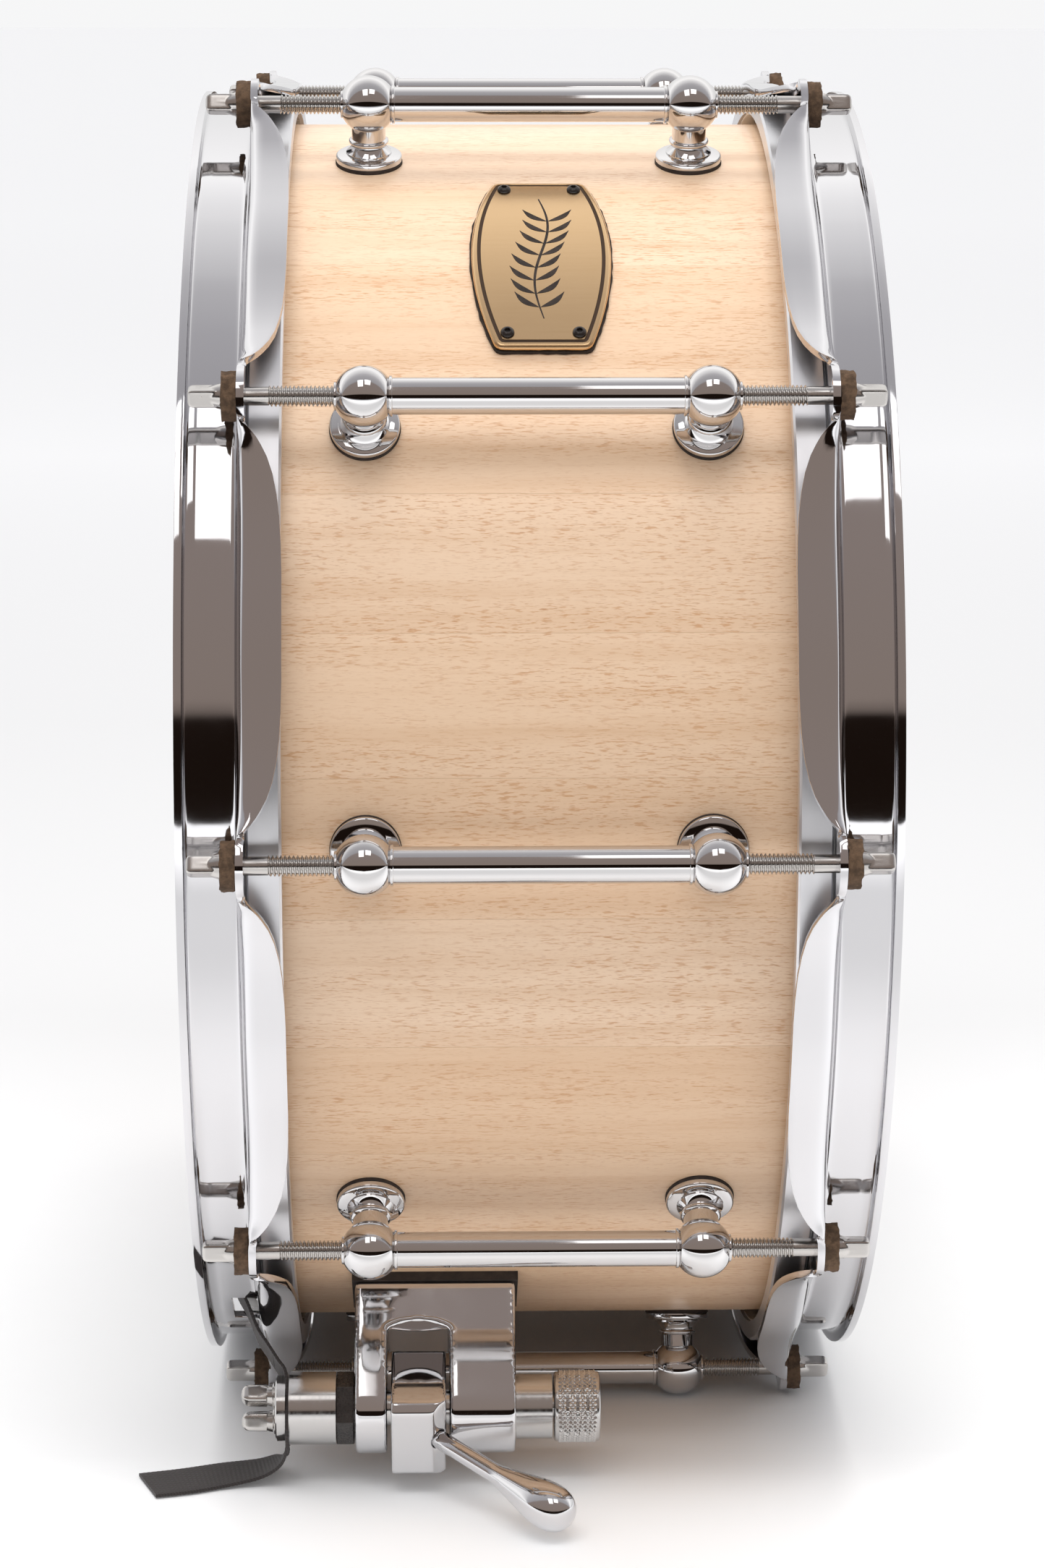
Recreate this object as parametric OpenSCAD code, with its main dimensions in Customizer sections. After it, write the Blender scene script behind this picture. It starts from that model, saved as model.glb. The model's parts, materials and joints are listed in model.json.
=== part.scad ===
// Stave snare drum lying on its side, resting on four hoop ears.
// +X runs along the drum axis towards the batter head, +Z is up.
// The origin is on the floor, under the middle of the whole object.

/* [Shell] */
// outside radius of the wooden shell
shell_r = 178; // [150:0.5:200]
// depth of the shell from edge to edge
shell_depth = 165; // [120:1:200]
// wall thickness of the staves
wall = 9; // [6:0.5:14]
// number of tension lugs round the shell
lugs = 10; // [6:1:12]

/* [Hoops] */
// sheet thickness of the flanged hoops
hoop_t = 2; // [1.6:0.1:3]
// outside radius of the upright wall of a hoop
hoop_wall_r = 184; // [156:0.5:206]
// outside radius of the lower skirt between the ears
skirt_r = 190; // [160:0.5:212]
// outside radius of the turned-out rim
rim_r = 188.2; // [160:0.1:212]
// distance of the rim plane from the middle of the drum
rim_x = 93; // [70:0.5:110]

/* [Ears and rods] */
// radius of the circle that the tension rods stand on
rod_pcd_r = 195; // [170:0.5:215]
// centre radius of the rounded ear tip
ear_c = 194; // [170:0.5:215]
// radius of the rounded ear tip
ear_r = 9; // [7:0.5:12]
// diameter of a rod's thread
rod_d = 5.4; // [4:0.1:6.4]
// diameter of a leather washer
washer_d = 13; // [10:0.5:16]
// thickness of a leather washer
washer_t = 4; // [1:0.5:5]

/* [Lugs] */
// diameter of the ball at each end of a lug
ball_d = 16; // [12:0.5:20]
// spacing of the two balls of one lug
ball_gap = 89.34; // [60:0.5:110]
// diameter of the tube between the balls
tube_d = 9.6; // [7:0.1:12]
// diameter of the round foot of a lug
foot_d = 20; // [14:0.5:26]

/* [Strainer] */
// width of the strainer body round the shell
body_w = 25.4; // [20:0.2:32]
// radius from the drum axis to the piston axis
piston_r = 212.8; // [205:0.2:220]
// how far the piston slides when the lever is thrown
throw = 7; // [3:0.5:8]
// rest angle of the lever away from straight outward
lever_rest = 38; // [0:1:45]

/* [Strap and snares] */
// width of the ribbon strap
strap_w = 17; // [12:0.5:20]
// thickness of the ribbon strap
strap_t = 1; // [0.6:0.1:1.5]
// number of snare strands
strands = 20; // [12:1:24]

/* [Badge] */
// half width of the badge along the drum axis
badge_hw = 18.8; // [12:0.2:24]
// half length of the badge round the shell, in degrees
badge_ha = 11.15; // [6:0.05:14]
// radius of the badge's two bowed sides
badge_bow = 100; // [60:1:240]

/* [Hidden] */
$fn = 96;
fine_fn = 300;
eps = 0.01;
half = shell_depth / 2;
pitch_a = 360 / lugs;
shell_in = shell_r - wall;
// the drum is shifted along X so that the origin is under the middle
drum_x = 9.3;
// lowest ears stand at two lug stations below the axis
axis_h = ear_c * sin(2 * pitch_a) + ear_r;
ear_in = 75;
ear_out = ear_in + hoop_t;
lug_x = ball_gap / 2;
foot_top = rod_pcd_r - 14.3;
foot_bot = foot_top - 2;
film_t = 0.4;
film_out = half + film_t;
snare_a = -54;
butt_a = 126;
body_base = 180;
body_l = -49.9;
body_r = -4.9;
slot_l = -40.8;
slot_r = -23.5;
block_l = -39.7;
block_r = -24.4;
rod_bore = 10.1;
collar_bore = 18.1;
fit = 0.05;
clamp_z = -69.2;
badge_x = 2.2;
badge_a = 54.8;
vent_a = 162;
grip_end = 222.4;
plate_in = 138;
// middle line of the ribbon, [distance along X, distance out from the axis]
lead_line = [[-86.1, 140], [-86.1, 153], [-84.2, 158], [-84, 175], [-83.3, 178.6],
  [-80.3, 184.2], [-77.2, 191.8], [-71.2, 201.2], [-70.2, 202.4]];
butt_line = [[-86.1, 140], [-86.1, 153], [-84.2, 158], [-84, 175], [-83.3, 178.6],
  [-80.3, 184.2], [-77.2, 191.8], [-66, 196], [-60, 196.5], [-40.5, 196.5]];
// loose end of the ribbon: [x, y, height over the floor] of its middle line
tail_mid = [[-68.7, -130.72, 13.58], [-69.1, -129, 10], [-71.5, -125.2, 6], [-77, -122.6, 2.4],
  [-87.2, -123.5, 0.9], [-97.4, -127.1, 0.7], [-108, -130, 0.7]];
// the same stations: half-width vector towards the front edge
tail_half = [[0, -6.88, 5], [0.4, -7.4, 4.1], [1, -8.25, 1.9], [1.05, -8.45, 0.8],
  [1.3, -8.5, 0.1], [2.1, -8.3, 0], [3.4, -9, 0]];
gold = [0.72, 0.55, 0.28];
chrome = [0.82, 0.83, 0.85];
wood = [0.86, 0.66, 0.42];
dark = [0.09, 0.085, 0.08];
leather = [0.42, 0.27, 0.15];

// moves a piece drawn round the drum centre to its place over the floor
module drum() {
  translate([drum_x, 0, axis_h]) children();
}

// station frame: x along the drum, y round the shell, z straight out of it
module station(a) {
  drum() rotate([90 - a, 0, 0]) children();
}

// one station at each lug
module stations() {
  for (i = [0 : lugs - 1]) station(i * pitch_a) children();
}

// a revolve about the drum axis; points are [distance along X, radius]
module ring(pts) {
  drum() rotate([90, 0, 90]) rotate_extrude($fn = fine_fn)
    polygon([for (p = pts) [p[1], p[0]]]);
}

// rod along X from a to b
module bar(a, b, d) {
  translate([a, 0, 0]) rotate([0, 90, 0]) cylinder(d = d, h = b - a);
}

// the same, as fat as the shell
module shell_bar(a, b, r) {
  translate([a, 0, 0]) rotate([0, 90, 0]) cylinder(r = r, h = b - a, $fn = fine_fn);
}

// box from low corner to high corner
module block(lo, hi) {
  translate(lo) cube(hi - lo);
}

module shell() {
  color(wood)
  difference() {
    ring([[-half, shell_r - 2.6], [-half + 0.5, shell_r - 0.8], [-half + 1.8, shell_r],
      [half - 1.8, shell_r], [half - 0.5, shell_r - 0.8], [half, shell_r - 2.6],
      [half - 6.4, shell_in], [-half + 6.4, shell_in]]);
    stations() {
      for (s = [-1, 1])
        translate([s * lug_x, 0, shell_in - 3]) cylinder(d = 5.2, h = wall + 6);
    }
    station(vent_a) translate([0, 0, shell_in - 3]) cylinder(d = 12, h = wall + 6);
    station(snare_a)
      for (x = [-45.4, -10.5])
        translate([x, 0, shell_in - 3]) cylinder(d = 4.2, h = wall + 6);
    station(butt_a)
      for (x = [-54, -44])
        translate([x, 0, shell_in - 3]) cylinder(d = 4.2, h = wall + 6);
  }
}

// s is 1 for the batter side and -1 for the snare side
module film(s) {
  ring([[s * half, 0], [s * film_out, 0], [s * film_out, 176.2], [s * 82.3, 178.2],
    [s * 75, 181.4], [s * 67, 181.4], [s * 67, 181], [s * 75, 181],
    [s * 81.9, 178.1], [s * 82.1, 177.6], [s * half, 175.6]]);
}

module batter_film() {
  color([0.95, 0.94, 0.91]) film(1);
}

module snare_film() {
  color([0.93, 0.93, 0.92]) film(-1);
}

module flesh_hoop(s) {
  ring([[s * 66, 181.4], [s * 74.9, 181.4], [s * 74.9, 186.4], [s * 74.4, 187],
    [s * 66.6, 187], [s * 66, 186.4]]);
}

module batter_flesh_hoop() {
  color([0.8, 0.8, 0.82]) flesh_hoop(1);
}

module snare_flesh_hoop() {
  color([0.8, 0.8, 0.82]) flesh_hoop(-1);
}

// flat ear with its rod hole, at one station
module ear(s) {
  x = s > 0 ? ear_in : -ear_out;
  translate([x, 0, ear_c]) rotate([0, 90, 0]) cylinder(r = ear_r, h = hoop_t);
  translate([x, 0, 0]) rotate([90, 0, 90]) linear_extrude(hoop_t)
    polygon([[-16.5, 183], [16.5, 183], [15.5, 188.5], [11.5, 191.6],
      [8.2, 197.7], [-8.2, 197.7], [-11.5, 191.6], [-15.5, 188.5]]);
}

module hoop(s) {
  difference() {
    union() {
      ring([[s * rim_x, 182], [s * rim_x, rim_r - 0.6], [s * (rim_x - 0.6), rim_r],
        [s * (rim_x - 1.8), rim_r],
        [s * (rim_x - 2.2), hoop_wall_r], [s * ear_out, hoop_wall_r],
        [s * ear_out, skirt_r - 0.8], [s * (ear_out - 0.8), skirt_r],
        [s * 65.5, skirt_r], [s * 65.5, skirt_r - hoop_t], [s * ear_in, skirt_r - hoop_t],
        [s * ear_in, 182]]);
      stations() ear(s);
    }
    stations() {
      block([s > 0 ? 60 : -ear_in, -16.5, 187.2], [s > 0 ? ear_in : -60, 16.5, 193]);
      translate([s > 0 ? 70 : -80, 0, rod_pcd_r]) rotate([0, 90, 0])
        cylinder(d = 6.6, h = 10);
    }
  }
}

module batter_hoop() {
  color(chrome) hoop(1);
}

module snare_hoop() {
  color(chrome)
  difference() {
    hoop(-1);
    for (a = [snare_a, butt_a])
      station(a) block([-84.5, -10, 178], [-76, 10, 194]);
  }
}

// tension rod with a square key head
module rod(s) {
  translate([0, 0, rod_pcd_r]) mirror([s > 0 ? 0 : 1, 0, 0]) {
    bar(32, 81, rod_d);
    translate([81, 0, 0]) rotate([0, 90, 0]) cylinder(d1 = 6.8, d2 = 5.4, h = 2.7);
    intersection() {
      block([81.2, -2.5, -2.5], [89.7, 2.5, 2.5]);
      translate([84.4, 0, 0]) sphere(r = 5.3);
    }
  }
}

module batter_rods() {
  color(chrome) stations() rod(1);
}

module snare_rods() {
  color(chrome) stations() rod(-1);
}

module washer(s) {
  translate([0, 0, rod_pcd_r]) mirror([s > 0 ? 0 : 1, 0, 0])
    difference() {
      bar(ear_out, ear_out + washer_t, washer_d);
      bar(ear_out - 1, ear_out + washer_t + 1, 5.6);
    }
}

module batter_washers() {
  color(leather) stations() washer(1);
}

module snare_washers() {
  color(leather) stations() washer(-1);
}

module lug_tubes() {
  color(chrome)
  stations() translate([0, 0, rod_pcd_r])
    difference() {
      bar(-lug_x + 1, lug_x - 1, tube_d);
      bar(-50, 50, rod_d);
    }
}

// ball, ringed neck and round foot of a lug
module post(s) {
  difference() {
    translate([s * lug_x, 0, 0]) {
      translate([0, 0, rod_pcd_r]) sphere(d = ball_d);
      translate([0, 0, foot_top - 0.5]) cylinder(d = 9.4, h = 8.5);
      translate([0, 0, foot_top]) cylinder(d1 = 12.6, d2 = 10.8, h = 2.2);
      translate([0, 0, foot_top + 3.2]) cylinder(d = 11, h = 1.3);
      translate([0, 0, foot_bot]) cylinder(d = foot_d, h = 1.6);
      translate([0, 0, foot_bot + 1.6]) cylinder(d1 = foot_d, d2 = foot_d - 0.8, h = 0.4);
    }
    translate([0, 0, rod_pcd_r]) bar(-lug_x + 1, lug_x - 1, tube_d);
    translate([0, 0, rod_pcd_r]) bar(-60, 60, rod_d);
    translate([s * lug_x, 0, foot_bot - 1]) cylinder(d = 5, h = 8.4);
  }
}

module lug_posts() {
  color(chrome) stations() for (s = [-1, 1]) post(s);
}

module lug_gaskets() {
  color(dark)
  difference() {
    stations()
      for (s = [-1, 1])
        translate([s * lug_x, 0, 176.5]) cylinder(d = foot_d + 1.6, h = foot_bot - 176.5);
    drum() shell_bar(-60, 60, shell_r);
    stations()
      for (s = [-1, 1])
        translate([s * lug_x, 0, 174]) cylinder(d = 5.2, h = 10);
  }
}

// pan-head screw from inside the shell, one per lug ball
module lug_screws() {
  color(chrome)
  stations()
    for (s = [-1, 1]) translate([s * lug_x, 0, 0]) {
      translate([0, 0, shell_in - 1.5]) cylinder(d = 5, h = 16.5);
      translate([0, 0, shell_in - 4.3]) cylinder(d1 = 7, d2 = 9, h = 2.8);
    }
}

module lug_washers() {
  color(chrome)
  stations()
    for (s = [-1, 1]) translate([s * lug_x, 0, shell_in - 1.5])
      difference() {
        cylinder(d = 12, h = 1.3);
        translate([0, 0, -1]) cylinder(d = 5, h = 4);
      }
}

// barrel outline of the badge, cut out of a thin ring round the shell
module badge_sheet(r0, r1, grow) {
  hl = r1 * sin(badge_ha) + grow;
  side = badge_bow - badge_hw - grow;
  corner = (badge_hw + hl - 8.2) / sqrt(2) + grow / 2;
  intersection() {
    station(badge_a) {
      difference() {
        intersection() {
          translate([badge_x + side, 0, 100]) cylinder(r = badge_bow, h = 100);
          translate([badge_x - side, 0, 100]) cylinder(r = badge_bow, h = 100);
          block([badge_x - 30, -hl, 100], [badge_x + 30, hl, 200]);
        }
        for (a = [45:90:315])
          translate([badge_x, 0, 100]) rotate(a) block([corner, -30, -1], [60, 30, 101]);
      }
    }
    drum() difference() {
      shell_bar(-40, 40, r1);
      shell_bar(-50, 50, r0);
    }
  }
}

module badge_gasket() {
  color(dark) badge_sheet(shell_r, shell_r + 0.9, 1);
}

module badge_plate() {
  color(gold)
  difference() {
    badge_sheet(shell_r + 0.9, shell_r + 2.5, 0);
    for (a = [-9.6, 9.6], x = [-9.5, 9.5])
      station(badge_a + a) translate([badge_x + x, 0, 170]) cylinder(d = 2, h = 20);
  }
}

module badge_screws() {
  color(dark)
  for (a = [-9.6, 9.6], x = [-9.5, 9.5])
    station(badge_a + a) translate([badge_x + x, 0, 0]) {
      translate([0, 0, shell_r + 0.9]) cylinder(d = 2, h = 1.65);
      translate([0, 0, shell_r + 2.5]) cylinder(d1 = 3.8, d2 = 2.6, h = 1.3);
    }
}

module vent_grommet() {
  color(gold)
  station(vent_a)
    difference() {
      union() {
        translate([0, 0, shell_in - 1]) cylinder(d = 12, h = wall + 2);
        translate([0, 0, shell_r + 0.1]) cylinder(d1 = 18, d2 = 15, h = 1.3);
        translate([0, 0, shell_in - 2]) cylinder(d1 = 15, d2 = 18, h = 1.4);
      }
      translate([0, 0, 150]) cylinder(d = 9, h = 50);
    }
}

module strainer_gasket() {
  color(dark)
  station(snare_a)
    difference() {
      block([body_l - 0.8, -body_w / 2 - 0.8, 174], [body_r + 0.8, body_w / 2 + 0.8, body_base]);
      shell_bar(-70, 20, shell_r);
      for (x = [-45.4, -10.5]) translate([x, 0, 170]) cylinder(d = 4.2, h = 20);
    }
}

module strainer_body() {
  color(chrome)
  station(snare_a)
    difference() {
      union() {
        block([body_l, -body_w / 2, body_base], [body_r, body_w / 2, piston_r]);
        translate([0, 0, piston_r]) bar(body_l, body_r, body_w);
      }
      block([slot_l, -30, 193.4], [slot_r, 30, 240]);
      intersection() {
        translate([(slot_l + slot_r) / 2, body_w / 2 + 8.5, 209.3]) sphere(r = 20);
        block([slot_l, 0, 185], [slot_r, 30, 240]);
      }
      translate([0, 0, piston_r]) bar(body_l - 1, slot_l + 1, rod_bore);
      translate([0, 0, piston_r]) bar(slot_r - 1, body_r + 1, collar_bore);
      for (x = [-45.4, -10.5]) translate([x, 0, 170]) cylinder(d = 4, h = 22);
    }
}

// screws through the shell into a fitting on its outside
module mount_screws(a, xs) {
  station(a)
    for (x = xs) translate([x, 0, 0]) {
      translate([0, 0, shell_in - 0.4]) cylinder(d = 4, h = wall + 11);
      translate([0, 0, shell_in - 1.4]) cylinder(d = 11, h = 1.2);
      translate([0, 0, shell_in - 4]) cylinder(d1 = 6.4, d2 = 8.2, h = 2.6);
    }
}

module strainer_screws() {
  color(chrome) mount_screws(snare_a, [-45.4, -10.5]);
}

module piston() {
  color(chrome)
  station(snare_a) translate([0, 0, piston_r])
    difference() {
      union() {
        bar(-60.5, -14.9, rod_bore - 2 * fit);
        bar(-15, 5.2, collar_bore - 2 * fit);
      }
      bar(-70, 10, 6.1);
    }
}

module hex_bush() {
  color([0.2, 0.18, 0.17])
  station(snare_a) translate([0, 0, piston_r])
    difference() {
      translate([-55, 0, 0]) rotate([0, 90, 0]) rotate(10) cylinder(d = 20.4, h = 4.9, $fn = 6);
      bar(-60, -45, rod_bore - 2 * fit);
    }
}

// lever frame: z is the lever's own outward direction from the piston axis
module lever_frame() {
  station(snare_a) translate([0, 0, piston_r]) rotate([-lever_rest, 0, 0]) children();
}

module lever_block() {
  color(chrome)
  lever_frame()
    difference() {
      block([block_l, -12.3, -11.2], [block_r, 12.3, 16.4]);
      bar(-60, 0, rod_bore);
      for (s = [-1, 1])
        translate([-50, s * 12.3, 16.4]) rotate([45, 0, 0]) block([0, -1.6, -1.6], [40, 1.6, 1.6]);
      for (s = [-1, 1])
        translate([-50, s * 12.3, -11.2]) rotate([45, 0, 0]) block([0, -1, -1], [40, 1, 1]);
      translate([block_r, 0, 16.4]) rotate([0, 45, 0]) block([-2.6, -20, -2.6], [2.6, 20, 2.6]);
      translate([-26, 0, 14.8]) rotate([0, 45, 0]) translate([0, 0, -7]) cylinder(d = 5.2, h = 20);
    }
}

module lever_rod() {
  color(chrome)
  lever_frame() translate([-26, 0, 14.8]) rotate([0, 45, 0]) translate([0, 0, -7])
    cylinder(d = 5.2, h = 29);
}

// teardrop grip on the end of the lever rod
module lever_knob() {
  color(chrome)
  lever_frame() translate([-26, 0, 14.8]) rotate([0, 45, 0])
    rotate_extrude()
      polygon([[0, 22], [2.9, 22], [3.3, 23.6], [4, 27], [4.8, 31], [5.6, 34.6], [6.2, 37.6],
        [6.5, 40.2], [6.5, 42], [6.2, 44], [5.4, 46], [4.1, 47.6], [2.2, 48.7], [0, 49]]);
}

module tension_knob() {
  color(chrome)
  station(snare_a) translate([0, 0, piston_r])
    difference() {
      union() {
        translate([5.7, 0, 0]) rotate([0, 90, 0]) cylinder(d1 = 19.3, d2 = 20.3, h = 0.6);
        bar(6.29, 17.8, 20.3);
        translate([17.79, 0, 0]) rotate([0, 90, 0]) cylinder(d1 = 20.3, d2 = 18.9, h = 0.8);
      }
      bar(-10, 14, 6);
      bar(17.4, 20, 13);
    }
}

module tension_screw() {
  color(chrome)
  station(snare_a) translate([0, 0, piston_r]) bar(-65, 14, 6);
}

module clamp_cylinder() {
  color(chrome)
  station(snare_a) translate([0, 0, piston_r])
    difference() {
      bar(clamp_z + 1, -55.1, 20.2);
      bar(-61.5, -50, rod_bore);
      bar(-66, -60, 6.1);
      for (p = [[2.5, -3], [-2.5, 3]])
        translate([-80, p[0], p[1]]) rotate([0, 90, 0]) cylinder(d = 3.4, h = 14.6);
    }
}

module clamp_plate() {
  color(chrome)
  station(snare_a) translate([0, 0, piston_r])
    difference() {
      union() {
        bar(clamp_z - 2.4, clamp_z, 18.2);
        translate([clamp_z - 2.8, 0, 0]) rotate([0, 90, 0]) cylinder(d1 = 17.4, d2 = 18.2, h = 0.41);
      }
      for (p = [[2.5, -3], [-2.5, 3]])
        translate([-80, p[0], p[1]]) rotate([0, 90, 0]) cylinder(d = 3.4, h = 20);
    }
}

// square-headed key screw along X with its shank towards +X
module key_screw(len, d) {
  bar(0, len, d);
  translate([-0.8, 0, 0]) rotate([0, 90, 0]) cylinder(d1 = 7, d2 = 7.4, h = 0.8);
  intersection() {
    block([-9.6, -2.6, -2.6], [-0.79, 2.6, 2.6]);
    translate([-4.4, 0, 0]) sphere(r = 5.3);
  }
}

module clamp_screws() {
  color(chrome)
  station(snare_a)
    for (p = [[2.5, -3], [-2.5, 3]])
      translate([clamp_z - 2.8, p[0], piston_r + p[1]]) key_screw(6.6, 3.4);
}

function normal_of(a, b) = [a[1] - b[1], b[0] - a[0]] / norm(b - a);
function join_normal(n, m) = (n + m) / (1 + n * m);
function line_normal(p, i) =
  i == 0 ? normal_of(p[0], p[1])
  : i == len(p) - 1 ? normal_of(p[i - 1], p[i])
  : join_normal(normal_of(p[i - 1], p[i]), normal_of(p[i], p[i + 1]));
function band(p, t) = concat(
  [for (i = [0 : len(p) - 1]) p[i] + line_normal(p, i) * t / 2],
  [for (i = [len(p) - 1 : -1 : 0]) p[i] - line_normal(p, i) * t / 2]);

// ribbon that follows a line in a plane through the drum axis
module ribbon(p) {
  translate([0, strap_w / 2, 0]) rotate([90, 0, 0]) linear_extrude(strap_w)
    polygon(band(p, strap_t));
}

module strap_lead() {
  color(dark) station(snare_a) ribbon(lead_line);
}

module strap_grip() {
  color(dark)
  station(snare_a)
    difference() {
      block([clamp_z, -strap_w / 2, 203.2], [clamp_z + strap_t, strap_w / 2, grip_end]);
      for (p = [[2.5, -3], [-2.5, 3]])
        translate([-80, p[0], piston_r + p[1]]) rotate([0, 90, 0]) cylinder(d = 3.4, h = 20);
    }
}

function way(i) = tail_mid[min(i + 1, len(tail_mid) - 1)] - tail_mid[max(i - 1, 0)];
function unit(v) = v / norm(v);
function thick(i) = i == 0 ? [-strap_t / 2, 0, 0] : unit(cross(tail_half[i], way(i))) * strap_t / 2;
function tail_ring(i) = [tail_mid[i] + tail_half[i] + thick(i), tail_mid[i] + tail_half[i] - thick(i),
  tail_mid[i] - tail_half[i] - thick(i), tail_mid[i] - tail_half[i] + thick(i)];

module strap_tail() {
  n = len(tail_mid);
  color(dark)
  translate([drum_x, 0, 0])
    polyhedron(
      [for (i = [0 : n - 1]) each tail_ring(i)],
      concat([[0, 1, 2], [0, 2, 3]],
        [for (i = [0 : n - 2], k = [0 : 3]) [4 * i + k, 4 * i + 4 + k, 4 * i + 4 + (k + 1) % 4]],
        [for (i = [0 : n - 2], k = [0 : 3])
          [4 * i + k, 4 * i + 4 + (k + 1) % 4, 4 * i + (k + 1) % 4]],
        [[4 * n - 1, 4 * n - 2, 4 * n - 3], [4 * n - 1, 4 * n - 3, 4 * n - 4]]));
}

module snare_wires() {
  color(chrome)
  station(snare_a)
    for (i = [0 : strands - 1])
      translate([-film_out - 0.9, (i - (strands - 1) / 2) * 2.1, -plate_in - 8])
        cylinder(d = 1.6, h = 2 * plate_in + 16, $fn = 24);
}

module end_plate() {
  block([-film_out - 2.7, -21.5, plate_in], [-film_out - 1.7, 21.5, plate_in + 14]);
}

module snare_plate() {
  color(gold) station(snare_a) end_plate();
}

module butt_snare_plate() {
  color(gold) station(butt_a) end_plate();
}

module butt_strap() {
  color(dark) station(butt_a) ribbon(butt_line);
}

module butt_gasket() {
  color(dark)
  station(butt_a)
    difference() {
      block([-59.8, -14.8, 174], [-38.2, 14.8, body_base]);
      shell_bar(-70, -30, shell_r);
      for (x = [-54, -44]) translate([x, 0, 170]) cylinder(d = 4.2, h = 20);
    }
}

module butt_body() {
  color(chrome)
  station(butt_a)
    difference() {
      block([-59, -14, body_base], [-39, 14, 196]);
      for (x = [-54, -44]) translate([x, 0, 170]) cylinder(d = 4, h = 20);
      for (s = [-1, 1]) translate([-49, s * 11.2, 186]) cylinder(d = 3.4, h = 20);
    }
}

module butt_clamp() {
  color(chrome)
  station(butt_a)
    difference() {
      block([-58, -14, 197], [-40, 14, 200.2]);
      for (s = [-1, 1]) translate([-49, s * 11.2, 186]) cylinder(d = 3.4, h = 20);
    }
}

module butt_clamp_screws() {
  color(chrome)
  station(butt_a)
    for (s = [-1, 1])
      translate([-49, s * 11.2, 200.2]) rotate([0, 90, 0]) key_screw(13, 3.4);
}

module butt_mount_screws() {
  color(chrome) mount_screws(butt_a, [-54, -44]);
}

shell();
batter_film();
snare_film();
batter_flesh_hoop();
snare_flesh_hoop();
batter_hoop();
snare_hoop();
batter_rods();
snare_rods();
batter_washers();
snare_washers();
lug_tubes();
lug_posts();
lug_gaskets();
lug_screws();
lug_washers();
badge_gasket();
badge_plate();
badge_screws();
vent_grommet();
strainer_gasket();
strainer_body();
strainer_screws();
piston();
hex_bush();
lever_block();
lever_rod();
lever_knob();
tension_knob();
tension_screw();
clamp_cylinder();
clamp_plate();
clamp_screws();
strap_lead();
strap_grip();
strap_tail();
snare_wires();
snare_plate();
butt_snare_plate();
butt_strap();
butt_gasket();
butt_body();
butt_clamp();
butt_clamp_screws();
butt_mount_screws();
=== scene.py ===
# %% [markdown]
# # A stave snare drum, lying on its side
#
# The drum is a ring of wooden staves with a head on each side, two chromed hoops, ten tube
# lugs, a lever strainer with its ribbon strap, and a row of coiled snares. The exact shapes
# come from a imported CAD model. This lesson dresses that frame: some CAD parts only get a
# finish, and others are hidden and stood for by a finer piece in the same place.
#
# Everything is in metres. +X runs along the drum towards the batter head, +Z is up, and the
# side with the badge and the lever faces -Y.

import json
import math

import bmesh
import bpy
import numpy as np
from mathutils import Matrix, Vector

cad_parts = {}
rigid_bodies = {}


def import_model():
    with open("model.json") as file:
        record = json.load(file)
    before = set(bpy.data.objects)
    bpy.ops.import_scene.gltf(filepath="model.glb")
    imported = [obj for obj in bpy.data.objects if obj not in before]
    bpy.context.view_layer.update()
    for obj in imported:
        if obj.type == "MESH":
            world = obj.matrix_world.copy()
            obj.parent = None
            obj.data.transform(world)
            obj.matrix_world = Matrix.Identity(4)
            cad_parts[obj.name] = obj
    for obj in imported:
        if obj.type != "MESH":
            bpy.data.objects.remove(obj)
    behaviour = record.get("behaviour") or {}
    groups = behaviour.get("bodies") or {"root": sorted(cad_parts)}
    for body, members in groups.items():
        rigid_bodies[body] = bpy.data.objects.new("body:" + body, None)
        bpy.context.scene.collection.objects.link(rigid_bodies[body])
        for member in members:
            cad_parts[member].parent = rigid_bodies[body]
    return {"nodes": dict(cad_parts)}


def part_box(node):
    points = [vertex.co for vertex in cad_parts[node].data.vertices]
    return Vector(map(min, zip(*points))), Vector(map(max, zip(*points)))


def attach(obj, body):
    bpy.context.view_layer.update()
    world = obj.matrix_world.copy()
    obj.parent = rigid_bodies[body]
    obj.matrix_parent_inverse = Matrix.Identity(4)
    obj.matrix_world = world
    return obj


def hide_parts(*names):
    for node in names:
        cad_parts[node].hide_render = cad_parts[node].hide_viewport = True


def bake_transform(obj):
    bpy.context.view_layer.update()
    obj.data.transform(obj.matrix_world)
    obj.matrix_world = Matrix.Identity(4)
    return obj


for thing in list(bpy.data.objects):
    bpy.data.objects.remove(thing)
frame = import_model()
bpy.context.view_layer.update()
nodes = frame["nodes"]

# %% [markdown]
# ## Where things are
#
# The shell is a ring, so the middle of its box is the middle of the drum. Each fitting sits at
# a "station": an angle round the drum, counted from the front (-Y) upwards. A station's own
# axes are x along the drum, y round the shell and z straight out of it, in millimetres,
# because that is how a drum maker would give the sizes.

# %% Stations round the drum
MM = 0.001
SHELL_R = 178.0          # outside of the wooden shell
shell_low, shell_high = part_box("shell")
CENTRE = (shell_low + shell_high) / 2
STRAINER_ANGLE, BUTT_ANGLE, BADGE_ANGLE = -54.0, 126.0, 54.8
LUGS = 10


def station(degrees):
    """Matrix from a station's millimetres to the shared frame's metres."""
    turn = Matrix.Rotation(math.radians(90 - degrees), 4, "X")
    return Matrix.Translation(CENTRE) @ turn @ Matrix.Scale(MM, 4)


PISTON_OUT = 212.8      # from the drum's axis to the strainer's piston
LEVER_LEAN = 38.0       # the lever at rest leans this far from straight out


def lever_frame():
    """The same, with the origin on the piston and z along the lever's own way out."""
    lean = Matrix.Rotation(math.radians(-LEVER_LEAN), 4, "X")
    return station(STRAINER_ANGLE) @ Matrix.Translation((0, 0, PISTON_OUT)) @ lean


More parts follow.
